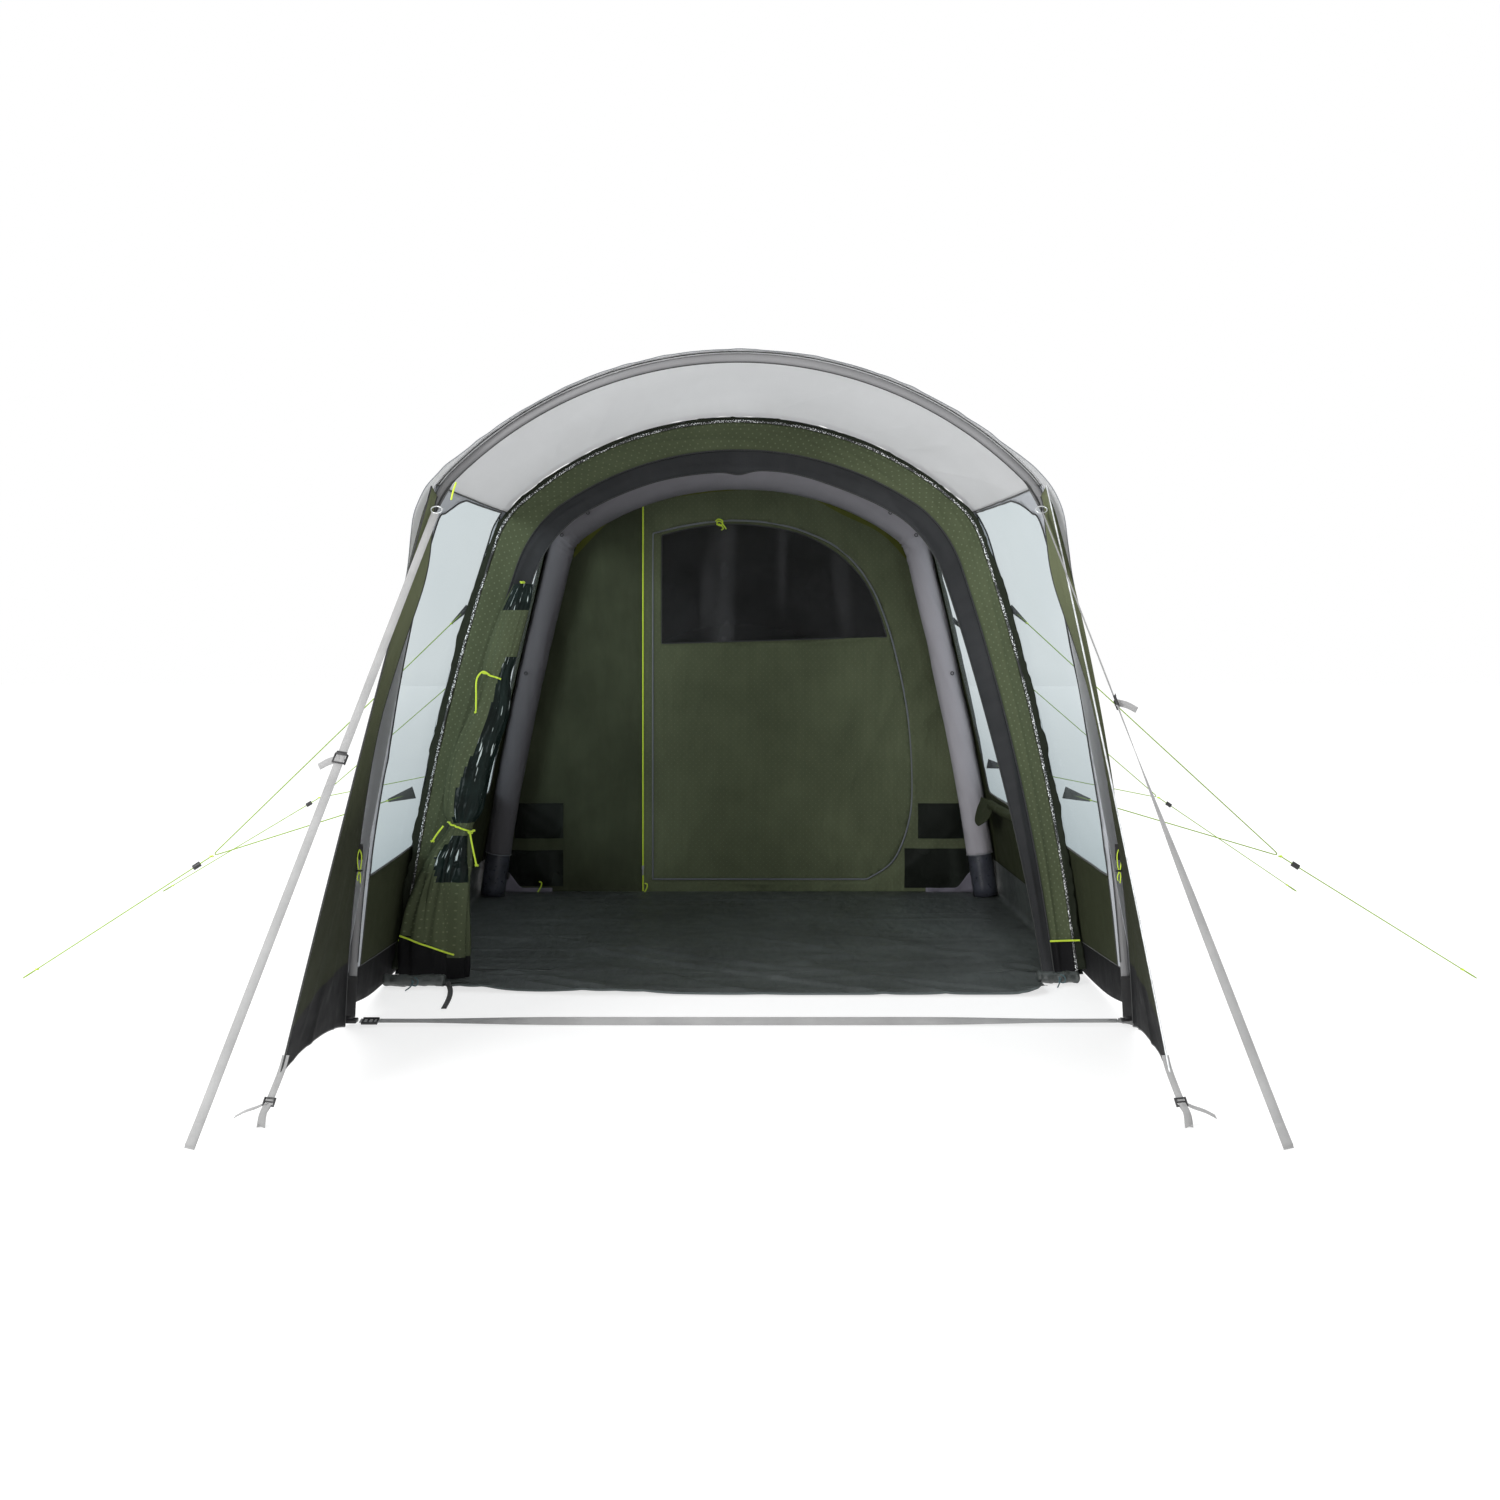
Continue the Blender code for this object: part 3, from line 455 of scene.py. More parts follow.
LOOKS = {
    "roof": cloth_look(rgb(0.70, 0.705, 0.71), 0.7, 0.03, see=0.60),
    "strip": cloth_look(rgb(0.60, 0.62, 0.65), 0.7, 0.05, see=0.30),
    "green": cloth_look(rgb(0.074, 0.089, 0.049), 0.85, 0.14, dots=0.50),
    "ruffle": cloth_look(rgb(0.018, 0.022, 0.014), 0.7, 0.25),
    "green_plain": cloth_look(rgb(0.030, 0.035, 0.0175), 0.85, 0.14),
    # The wing's top is painted up to 5.8 times lighter, fading out a metre down: painted light.
    "wing": cloth_look(rgb(0.027, 0.030, 0.017), 0.85, 0.14, painted_light_ramp=(0.30, 1.05, 5.8, 1.0)),
    "black": cloth_look(rgb(0.009, 0.009, 0.010), 0.72, 0.2, folds=0.006),
    "band": cloth_look(rgb(0.031, 0.032, 0.034), 0.80, 0.24, folds=0.012),
    # The tube sleeves are painted darker on the left leg and lighter on the right: painted shade and light
    # from the key lamp at the left.
    "sleeve": cloth_look(rgb(0.25, 0.24, 0.26), 0.70, 0.09, net=0.10, folds=0.005,
                         painted_light_ramp=(1.3, 4.6, 0.42, 1.62)),
    "pole_sleeve": cloth_look(rgb(0.22, 0.22, 0.225), 0.70, 0.09, net=0.10),
    "bladder": plain_look(rgb(0.040, 0.043, 0.056), 0.32, grain=40.0, depth=0.002, coat=0.3),
    "ground": cloth_look(rgb(0.054, 0.061, 0.059), 0.42, 0.34, net=0.35, folds=0.014, shine=0.5),
    # The inner cloth is painted lighter near the floor: painted light bounced up from the floor.
    "inner": cloth_look(rgb(0.090, 0.104, 0.060), 0.88, 0.22, net=0.45, dots=0.22, folds=0.020,
                        painted_light_ramp=(0.1, 0.9, 1.22, 1.0)),
    # A darker copy of the inner cloth for the front wall's part left of the zip: painted shade.
    "inner_painted_shade": cloth_look(rgb(0.048, 0.056, 0.033), 0.88, 0.26, net=0.25, folds=0.016),
    # A yellower olive for the inner tent's head above its seam: painted light shining through the top.
    "olive": cloth_look(rgb(0.085, 0.095, 0.018), 0.8, 0.2),
    "lilac": cloth_look(rgb(0.20, 0.19, 0.23), 0.7, 0.1),
    "film": film_look(),
    "vinyl": vinyl_look(),
    "mesh": mesh_look(rgb(0.015, 0.015, 0.0155)),
    "pocket": mesh_look(rgb(0.010, 0.012, 0.010), 0.94),
    "webbing": webbing_look(grey(0.31)),
    "grey_webbing": webbing_look(grey(0.20)),
    "black_webbing": webbing_look(rgb(0.014, 0.014, 0.015)),
    "plastic": plain_look(rgb(0.014, 0.014, 0.015), 0.38),
    "rod": plain_look(grey(0.09), 0.35),
    "metal": plain_look(rgb(0.30, 0.31, 0.32), 0.35, 0.9),
    "shiny": plain_look(rgb(0.62, 0.64, 0.65), 0.3, 0.5),
    "guy_lime": cord_look(rgb(0.20, 0.34, 0.008), rgb(0.34, 0.48, 0.03)),
    "lime": cord_look(rgb(0.52, 0.70, 0.020), rgb(0.72, 0.86, 0.14)),
    "teal": cord_look(rgb(0.035, 0.075, 0.085), rgb(0.07, 0.13, 0.14)),
    "piping": cord_look(rgb(0.014, 0.015, 0.015), rgb(0.03, 0.034, 0.034)),
    "grey_piping": cord_look(rgb(0.13, 0.14, 0.155), rgb(0.18, 0.19, 0.20)),
    "ground_hem": cord_look(rgb(0.05, 0.065, 0.065), rgb(0.09, 0.11, 0.11)),
    "zip": zip_look(),
    "floor": floor_look(),
}
for look_name, made_look in LOOKS.items():
    made_look.name = look_name


# ---------------------------------------------------------------------------
# Pieces


def finished(obj, body=TENT, stands_for=None):
    """Puts a piece on its body and the frame node that it stands for."""
    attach(obj, body)
    if stands_for:
        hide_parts(stands_for)
    return obj


def show_node(name, look):
    """Gives a frame node a finished material."""
    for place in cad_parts[name].material_slots:
        place.link = "OBJECT"
        place.material = LOOKS[look]


def mesh_piece(name, points, faces, looks, kinds=None, cut=None, thickness=0.0, away=None):
    """A smooth mesh object. Its faces look away from a point, and a thickness lies inside them."""
    points, faces = np.asarray(points, float), list(faces)
    if away is not None:
        first = np.array([face[:3] for face in faces])
        a, b, c = points[first[:, 0]], points[first[:, 1]], points[first[:, 2]]
        if (np.cross(b - a, c - a) * ((a + c) / 2 - np.array(away))).sum() < 0:
            faces = [tuple(reversed(face)) for face in faces]
    mesh = bpy.data.meshes.new(name)
    mesh.from_pydata(points.tolist(), [], [tuple(map(int, face)) for face in faces])
    for look in looks:
        mesh.materials.append(LOOKS[look])
    if kinds is not None:
        mesh.polygons.foreach_set("material_index", np.asarray(kinds, np.int32))
    if cut is not None:
        corner = np.zeros(len(mesh.loops), np.int32)
        mesh.loops.foreach_get("vertex_index", corner)
        layer = mesh.uv_layers.new(name="cut")
        layer.data.foreach_set("uv", np.asarray(cut, np.float32)[corner].ravel())
    mesh.shade_smooth()
    mesh.update()
    obj = bpy.data.objects.new(name, mesh)
    bpy.context.scene.collection.objects.link(obj)
    if thickness:
        shell = obj.modifiers.new("shell", "SOLIDIFY")
        shell.thickness, shell.offset = thickness, -1
    return obj


def rows_of_quads(rows, columns, closed):
    """The faces of a grid; a closed one joins its last column to its first."""
    i, j = np.meshgrid(np.arange(rows - 1), np.arange(columns if closed else columns - 1), indexing="ij")
    k = (j + 1) % columns
    quads = np.stack([i * columns + j, i * columns + k, (i + 1) * columns + k, (i + 1) * columns + j], -1)
    return [tuple(q) for q in quads.reshape(-1, 4)]


def end_caps(rows, columns):
    return [tuple(range(columns))[::-1], tuple(range((rows - 1) * columns, rows * columns))]


def mean_lengths(points, axis):
    """Mean distances along one axis of a grid of points."""
    step = np.linalg.norm(np.diff(points, axis=axis), axis=-1)
    return np.concatenate([[0], np.cumsum(step.mean(axis=1 - axis))])


def area(points):
    """The area of a grid of points."""
    a, b, c, d = points[:-1, :-1], points[1:, :-1], points[:-1, 1:], points[1:, 1:]
    halves = np.cross(b - a, c - a), np.cross(b - d, c - d)
    return sum(float(np.linalg.norm(h, axis=-1).sum()) / 2 for h in halves)


def grid_piece(name, points, looks, flat=None, size=None, kinds=None,
               closed=False, capped=False, thickness=CLOTH, away=None, stands_for=None):
    """A sheet from a grid of points, whose cut is measured along its rows and columns.

    flat is its size when laid flat; it is not used.
    """
    points = np.asarray(points)
    rows, columns = points.shape[:2]
    faces = rows_of_quads(rows, columns, closed)
    if kinds is not None:
        kinds = np.asarray(kinds).reshape(-1).tolist()
    if capped:
        faces += end_caps(rows, columns)
    cut = np.stack(np.meshgrid(mean_lengths(points, 1), mean_lengths(points, 0)), -1).reshape(-1, 2)
    obj = mesh_piece(name, points.reshape(-1, 3), faces, looks, kinds, cut, thickness, away)
    finished(obj, stands_for=stands_for)
    if flat:
        size or area(points)
    return obj


def inside(points, loop):
    """Which points lie inside a closed loop."""
    x, y = points[:, 0], points[:, 1]
    found = np.zeros(len(points), bool)
    for (x0, y0), (x1, y1) in zip(loop, np.roll(loop, -1, axis=0)):
        if y0 != y1:
            found ^= ((y0 > y) != (y1 > y)) & (x < (x1 - x0) * (y - y0) / (y1 - y0) + x0)
    return found


def patch(outline, lines=(), step=0.02):
    """Points, triangles and their middles that fill a flat outline, with edges along the given lines."""
    outline = np.asarray(outline, float)
    low, high = outline.min(0), outline.max(0)
    net = []
    for k, y in enumerate(np.arange(low[1] + step / 2, high[1], step * 0.87)):
        x = np.arange(low[0] + step * (0.3 + 0.5 * (k % 2)), high[0], step)
        net.append(np.stack([x, np.full_like(x, y)], -1))
    net = np.concatenate(net)
    net = net[inside(net, outline)]
    points = [tuple(p) for p in outline]
    edges = [(k, (k + 1) % len(outline)) for k in range(len(outline))]
    for line in lines:
        edges += [(len(points) + k, len(points) + k + 1) for k in range(len(line) - 1)]
        points += [tuple(p) for p in line]
    border = np.concatenate([dense(line, step / 3) for line in (outline, *lines)])
    near = np.array([np.min(np.abs(border - p).sum(1)) > step * 0.45 for p in net], bool)
    points += [tuple(p) for p in net[near]]
    made = delaunay_2d_cdt([Vector(p) for p in points], edges, [], 0, 1e-6)
    flat = np.array([tuple(p) for p in made[0]])
    faces = np.array(made[2])
    faces = faces[inside(flat[faces].mean(1), outline)]
    return flat, faces, flat[faces].mean(1)


def patch_piece(name, cut, at, looks, kinds, thickness=CLOTH, away=(0, 0, 0.9),
                body=TENT, stands_for=None):
    """A sheet from some triangles of a patch; a triangle of kind -1 is left out."""
    points, faces, _ = cut
    faces, kinds = faces[kinds >= 0], kinds[kinds >= 0]
    used, faces = np.unique(faces, return_inverse=True)
    used = points[used]
    obj = mesh_piece(name, at(used), faces.reshape(-1, 3), looks, kinds, used, thickness, away)
    finished(obj, body, stands_for)
    return obj


def line_piece(name, points, radius, look, body=TENT, closed=False, stands_for=None):
    """A round cord, piping or ring along a chain of points."""
    curve = bpy.data.curves.new(name, "CURVE")
    curve.dimensions = "3D"
    curve.bevel_depth = radius
    curve.bevel_resolution = 3
    curve.use_fill_caps = True
    spline = curve.splines.new("POLY")
    spline.points.add(len(points) - 1)
    spline.use_cyclic_u = closed
    spline.use_smooth = True
    for knot_point, point in zip(spline.points, points):
        knot_point.co = (*point, 1.0)
    curve.materials.append(LOOKS[look])
    obj = bpy.data.objects.new(name, curve)
    bpy.context.scene.collection.objects.link(obj)
    return finished(obj, body, stands_for)


def ribbon(name, path, width, thickness, flat_to, look, body=TENT, stands_for=None):
    """Webbing along a path. Its width lies along flat_to, which may change along the path."""
    path = np.asarray(path, float)
    along = np.gradient(path, axis=0)
    along /= np.linalg.norm(along, axis=1)[:, None]
    flat_to = np.broadcast_to(np.asarray(flat_to, float), path.shape)
    across = flat_to - along * (flat_to * along).sum(1)[:, None]
    across /= np.linalg.norm(across, axis=1)[:, None]
    up = np.cross(along, across)
    w, t = width / 2, thickness / 2
    section = ((-w, 0), (-w + t, t), (0, t), (w - t, t), (w, 0), (w - t, -t), (0, -t), (-w + t, -t))
    rows = np.stack([path + across * x + up * y for x, y in section], axis=1)
    faces = rows_of_quads(len(path), len(section), True) + end_caps(len(path), len(section))
    cut = [(x, run) for run in line_lengths(path) for x, _ in section]
    obj = mesh_piece(name, rows.reshape(-1, 3), faces, [look], cut=cut)
    edge = obj.modifiers.new("selvedge", "BEVEL")
    edge.width, edge.segments, edge.limit_method, edge.angle_limit = 0.0003, 1, "ANGLE", math.radians(50)
    return finished(obj, body, stands_for)


def joined_boxes(name, boxes, matrix, bevel=0.0012, body=TENT, stands_for=None):
    """A moulded part made of rounded blocks, each a size and a centre in the part's own frame."""
    points, faces = [], []
    for size, centre in boxes:
        start = len(points)
        for corner in np.ndindex(2, 2, 2):
            points.append(matrix @ Vector((np.array(corner) - 0.5) * size + centre))
        for face in ((0, 1, 3, 2), (4, 6, 7, 5), (0, 4, 5, 1), (2, 3, 7, 6), (0, 2, 6, 4), (1, 5, 7, 3)):
            faces.append(tuple(start + k for k in face))
    obj = mesh_piece(name, np.array([tuple(p) for p in points]), faces, ["plastic"])
    edge = obj.modifiers.new("rounded", "BEVEL")
    edge.width, edge.segments = bevel, 3
    return finished(obj, body, stands_for)


def ladder(rail, reach, bar, places):
    """The blocks of a sliding buckle: two side rails, and bars across it at places (y, z)."""
    return [(rail, (k * reach, 0, 0)) for k in (-1, 1)] + [(bar, (0, y, z)) for y, z in places]


def frame_along(start, end, flat_to):
    """A frame whose Z runs from start to end and whose X is as near as it can be to a given direction."""
    z = (Vector(end) - Vector(start)).normalized()
    x = (Vector(flat_to) - z * z.dot(Vector(flat_to))).normalized()
    return Matrix((x, z.cross(x), z)).transposed().to_4x4()


def knot(name, place, size, look="lime"):
    """An overhand knot: a cord through three crossings."""
    a = circle(40)
    shape = np.stack([np.sin(a) + 2 * np.sin(2 * a), np.cos(a) - 2 * np.cos(2 * a), -np.sin(3 * a)], -1)
    return line_piece(name, np.array(place) + shape * size / 6, 0.0016, look, closed=True)


# ---------------------------------------------------------------------------
# Camera, light and floor


def make_camera():
    """Eye height in front of the porch, level, with the frame lowered to take in the straps' ends."""
    data = bpy.data.cameras.new("camera")
    data.lens, data.sensor_width = 31.36, 36.0
    data.shift_x, data.shift_y = 0.0073, -0.0573
    data.clip_end = 200
    camera = bpy.data.objects.new("camera", data)
    camera.location = (0, -5.80, 1.105)
    camera.rotation_euler = (math.pi / 2, 0, 0)
    bpy.context.scene.collection.objects.link(camera)
    bpy.context.scene.camera = camera


def soft_light(name, place, target, size, power):
    data = bpy.data.lights.new(name, "AREA")
    data.shape, data.size, data.size_y, data.energy = "RECTANGLE", size, size * 0.7, power
    light = bpy.data.objects.new(name, data)
    light.location = place
    light.rotation_euler = (Vector(target) - Vector(place)).to_track_quat("-Z", "Y").to_euler()
    bpy.context.scene.collection.objects.link(light)


def make_studio():
    world = bpy.data.worlds.new("studio")
    world.use_nodes = True
    sky = world.node_tree.nodes["Background"].inputs
    sky["Color"].default_value, sky["Strength"].default_value = grey(1.0), 1.0
    bpy.context.scene.world = world
    soft_light("key", (-4.6, -7.2, 2.8), (0.4, -0.4, 0.9), 2.6, 420)
    soft_light("top", (0.5, 0.5, 7.0), (0, 0.0, 1.0), 5.0, 420)
    half, below = 60, -0.0015
    corners = [(-half, -half, below), (half, -half, below), (half, half, below), (-half, half, below)]
    mesh_piece("studio_floor", corners, [(0, 1, 2, 3)], ["floor"])
    bpy.context.scene.view_settings.view_transform = "Standard"


# ---------------------------------------------------------------------------
# Guy lines and straps


# For each set: its upper tab, its junction, its lower tab and its ground end
GUY_SETS = {
    "front_left": [(-1.020, -0.915, 1.310), (-1.866, -1.180, 0.425), (-1.205, -1.000, 0.630),
                   (-2.510, -1.220, 0.004)],
    "front_right": [(1.020, -0.915, 1.310), (1.915, -1.180, 0.425), (1.205, -1.000, 0.630),
                    (2.585, -1.220, 0.004)],
    "rear_left": [(-1.020, 0.400, 1.310), (-2.010, 0.460, 0.465), (-1.190, 0.400, 0.630),
                  (-2.790, 0.530, 0.004)],
    "rear_right": [(1.020, 0.400, 1.310), (2.010, 0.460, 0.465), (1.190, 0.400, 0.630),
                   (2.700, 0.530, 0.004)],
}


def cord_path(points):
    """Straight runs between the points, each corner rounded over its own short reach."""
    path = [points[0]]
    for before, corner, after in zip(points, points[1:], points[2:]):
        near = corner + (before - corner).normalized() * LINE_CORNER
        far = corner + (after - corner).normalized() * LINE_CORNER
        path += straight(path[-1], near, 5)[1:-1]
        path += [rounded_corner(near, corner, far, t) for t in np.linspace(0, 1, 7)]
    return path + straight(path[-1], points[-1], 5)[1:]


def guy_set(name, upper, junction, lower, end):
    """A V line from two tabs to its junction, and a main line on to the ground through its runner."""
    v_path, main_path = cord_path((upper, junction, lower)), straight(junction, end, 9)
    v_line, main_line = (
        line_piece(f"guy_{kind}_cord_{name}", path, LINE / 2, "guy_lime",
                   stands_for=f"guy_{kind}_line_{name}")
        for kind, path in (("v", v_path), ("main", main_path))
    )
    along = (end - junction).normalized()
    side = along.cross(Vector((0, 0, 1))).normalized()
    eye = oval(end - along * 0.028, along * 0.026, side * 0.011, 20)
    loop = line_piece(f"guy_loop_{name}", eye, LINE / 2, "guy_lime", closed=True)
    tie = knot(f"guy_knot_{name}", junction, 0.014)
    end_tie = knot(f"guy_end_knot_{name}", end - along * 0.056, 0.012)
    show_node(f"guy_runner_{name}", "plastic")
    guy_tab(f"guy_tab_upper_{name}", upper, junction, 0.026, 0.075)
    guy_tab(f"guy_tab_lower_{name}", lower, junction, 0.046, 0.085)


def guy_tab(name, place, toward, width, length):
    """A stiff black tab that tapers from the tunnel's skin to the line, sewn on at its root."""
    sewn, thickness, taper = 0.012, 0.0056, 0.72
    along = (toward - place).normalized()
    root = place - along * sewn
    path = straight(root, place + along * length, 9)
    tab = ribbon(name, path, width, thickness, Vector((0, 1, 0)).cross(along), "black_webbing")
    for vertex in tab.data.vertices:
        run = (vertex.co - root).dot(along)
        reach = max(0.0, min(1.0, run / (length + sewn)))
        axis = root + along * run
        vertex.co = axis + (vertex.co - axis) * (1.0 - taper * reach)
    knot(f"{name}_knot", place + along * (length + 0.002), 0.010)


def storm_strap(side_name, side):
    """The strap from the porch corner to the ground: taut flat webbing with its buckle, ring and end loop."""
    name, node = f"storm_strap_{side_name}", f"strap_buckle_{side_name}"
    start, end = (Vector((x * side, y, z)) for x, y, z in (STORM_STRAP_TOP, STORM_STRAP_END))
    along, place_share = (end - start).normalized(), BUCKLE_PLACE[side_name]
    place = start.lerp(end, place_share)
    route = straight(start, end, 65)
    seen_edge = Vector((0.16, 1, 0)) if side_name == "right" else Vector((1, 0, 0))
    twist = fade(np.linspace(0, 1, 65), place_share - 0.01, place_share + 0.45)[:, None]
    facing = np.array(seen_edge) * (1 - twist) + np.array((1, 0, 0)) * twist
    strap = ribbon(f"{name}_webbing", route, *WEBBING, facing, "webbing", stands_for=name)
    loop_path = straight(end - along * 0.058, end - along * 0.003 + Vector((0, 0, 0.003)), 7)
    loop = ribbon(f"{name}_loop", loop_path, *WEBBING, (1, 0, 0), "webbing")
    bars = [(0.0030, -0.013), (-0.0030, 0.0), (0.0030, 0.013)]
    boxes = ladder((0.0040, 0.0075, 0.030), 0.0165, (0.034, 0.0034, 0.0045), bars)
    boxes.append(((0.030, 0.0022, 0.008), (0, 0.0042, -0.0165)))
    matrix = Matrix.Translation(place) @ frame_along(start, end, seen_edge)
    buckle = joined_boxes(f"strap_ladder_lock_{side_name}", boxes, matrix, body=node, stands_for=node)
    tail_dir = Vector((side * 0.9, -0.2, -0.35)).normalized()
    tail_path = smooth([place, place + tail_dir * 0.03 + Vector((0, 0, 0.004)), place + tail_dir * 0.058], 5)
    tail = ribbon(f"strap_tail_{side_name}", tail_path, 0.022, 0.0016, along, "webbing", body=node)
    turn = frame_along(start, start + along, (1, 0, 0)).to_3x3()
    steel = oval(start - along * 0.012, turn @ Vector((0.017, 0, 0)), turn @ Vector((0, 0, 0.013)), 28)
    ring = line_piece(f"strap_ring_{side_name}", steel, 0.002, "shiny", closed=True)
    if side < 0:
        hook = smooth([(-0.8530, -1.862, 1.652), (-0.8600, -1.870, 1.624), (-0.8670, -1.864, 1.600)], 5)
        line_piece("porch_corner_cord", hook, 0.0028, "lime")


def threshold():
    """The strap between the pole's feet, on its edge, with a buckle at the left, a tail at the right."""
    lift = 0.0135
    x = np.linspace(-THRESHOLD_HALF, THRESHOLD_HALF, 60)
    path = np.stack([x, POLE_Y + 0 * x, lift - 0.0015 * (1 - (x / THRESHOLD_HALF) ** 2)], -1)
    lean = np.radians(12 + 60 * fade(THRESHOLD_HALF - np.abs(x), 0.15, 0.75))[:, None]
    facing = np.sin(lean) * np.array((0, 0, 1)) + np.cos(lean) * np.array((0, 1, 0))
    strap = ribbon("threshold_webbing", path, *WEBBING, facing, "webbing", stands_for="threshold_strap")
    turn = frame_along((0, 0, 0), (1, 0, 0), (0, 1, 0.25))
    matrix = Matrix.Translation((-1.128, POLE_Y - 0.003, lift)) @ turn
    bars = [(-0.001, z) for z in (-0.022, -0.006, 0.010, 0.022)]
    boxes = ladder((0.004, 0.008, 0.050), 0.0145, (0.030, 0.005, 0.006), bars)
    buckle = joined_boxes("threshold_ladder_lock", boxes, matrix)
    tail_path = smooth([(1.158, POLE_Y - 0.004, 0.016), (1.190, POLE_Y - 0.020, 0.014),
                        (1.222, POLE_Y - 0.055, 0.010), (1.243, POLE_Y - 0.105, 0.006)])
    tail = ribbon("threshold_tail", tail_path, 0.022, 0.0016, (1, 0.35, 0.25), "grey_webbing")


# ---------------------------------------------------------------------------
# Flysheet


class Skin:
    """The fabric from one hoop to the next, drawn in a little half way, with its folds."""

    def __init__(self, front, rear, length, sag, seed, ends=(1, 1)):
        self.front, self.rear, self.length = front, rear, length
        self.sag, self.seed, self.ends = sag, seed, ends

    def folds(self, u, s):
        """Short gathers beside each tube, broad slack between them and a few long creases."""
        x, y = s * 5.5, u * self.length
        near = self.ends[0] * np.exp(-y / 0.10) + self.ends[1] * np.exp(-(self.length - y) / 0.10)
        middle = 4 * u * (1 - u)
        gathers = 0.0048 * near * noise(x / 0.045, y / 0.22, self.seed)
        slack = 0.004 * middle * noise(x / 0.42, y / 0.35, self.seed + 1)
        long_creases = 0.0050 * middle * crease((x + 0.5 * y) / 0.20, (y - 0.2 * x) / 0.7, self.seed + 2, 5)
        corner = np.exp(-(((np.abs(s - 0.5) - 0.25) / 0.02) ** 2))
        return gathers + slack + long_creases + 0.003 * corner * noise(x / 0.06, y / 0.05, self.seed + 3)

    def at(self, u, s, lift=0.0):
        u, s = np.broadcast_arrays(u, s)
        taut = self.front.points(s) * (1 - u)[..., None] + self.rear.points(s) * u[..., None]
        on_leg = np.minimum(1, 8 * np.minimum(s, 1 - s))
        drawn = self.sag * 4 * u * (1 - u) * on_leg + self.folds(u, s) * on_leg - lift
        return taut + self.front.inwards(s) * drawn[..., None]

    def wall(self, side, height):
        """Turns a flat cut, metres back and metres up, into places on a wall."""

        def at(flat, lift=0.0):
            s = flat[:, 1] / height / 4
            return self.at(flat[:, 0] / self.length, s if side < 0 else 1 - s, lift)

        return at


PORCH = Skin(CANOPY_HOOP, FRONT_HOOP, FRONT_TUBE_Y - CANOPY_EDGE_Y, 0.012, 11, ends=(0.3, 1))
LIVING = Skin(FRONT_HOOP, MIDDLE_HOOP, MIDDLE_TUBE_Y - FRONT_TUBE_Y, 0.020, 23)
BEDROOM = Skin(MIDDLE_HOOP, REAR_HOOP, REAR_Y - MIDDLE_TUBE_Y, 0.020, 37)


def roof(prefix, skin, steps):
    """A roof panel from shoulder to shoulder, with a sewn tape along both of its long edges."""
    edge = WALL_TOP / 4
    u = np.linspace(0.002, 0.998, steps)
    points = skin.at(u[:, None], np.linspace(edge, 1 - edge, 190)[None, :])
    grid_piece(f"{prefix}_roof_cloth", points, ["roof"], (2.55, skin.length),
               size=0.999 * area(points), away=(0, skin.front.y + skin.length / 2, 0.6),
               stands_for=f"{prefix}_roof")
    for side_name, s in (("left", edge), ("right", 1 - edge)):
        seam = skin.at(u, np.full(steps, s), -0.0015)
        line_piece(f"{prefix}_roof_seam_{side_name}", seam, 0.0026, "piping")


def porch_rim():
    """The canopy's hemmed front edge: it reaches forward at the shoulders, where the wings join."""
    s = np.linspace(0.205, 0.795, 240)
    reach = 0.012 + 0.075 * np.exp(-(((np.abs(s - 0.5) - 0.262) / 0.045) ** 2))
    reach = reach * fade(0.296 - np.abs(s - 0.5), 0.0, 0.035)
    rows = []
    for t in np.linspace(0, 1, 8):
        base = CANOPY_HOOP.points(s) + np.stack([0 * s, 0.020 - (0.020 + reach) * t, 0 * s], -1)
        ripple = 0.0016 * noise(s * 5.5 / 0.05, t * 2, 5) * t
        rows.append(base - CANOPY_HOOP.inwards(s) * (0.0035 + ripple - 0.004 * t * t)[..., None])
    grid_piece("porch_rim_cloth", rows, ["roof"], (2.95, 0.11), away=(0, -1.0, 0.6))
    line_piece("porch_rim_piping", rows[-1], 0.0014, "grey_piping")
    for name, inset, y in (("outer", 0.0040, -1.8125), ("inner", 0.0350, -1.8080)):
        seam = CANOPY_HOOP.moved(y, inset).points(np.linspace(0.03, 0.97, 240))
        line_piece(f"pole_sleeve_seam_{name}", seam, 0.0015, "piping")


def closed_line(loop):
    return np.array([*loop, loop[0]])


def rounded(points, radius, steps=5):
    """A closed outline whose corners are rounded by a radius."""
    made = []
    for i, corner in enumerate(np.array(points)):
        before, after = points[i - 1] - corner, points[(i + 1) % len(points)] - corner
        near, far = (corner + arm / np.linalg.norm(arm) * radius for arm in (before, after))
        made += [rounded_corner(near, corner, far, t) for t in np.linspace(0, 1, steps)]
    return np.array(made)


def window_pane(place, cut, at, film, edge, lift):
    """A wall's film window, and the piping round it."""
    prefix, side_name = place
    patch_piece(f"{prefix}_window_film_{side_name}", cut, at, ["film"], np.where(film, 0, -1),
                thickness=0.0, stands_for=f"{prefix}_window_{side_name}")
    line_piece(f"{prefix}_window_piping_{side_name}", at(edge, lift), 0.0030, "piping", closed=True)


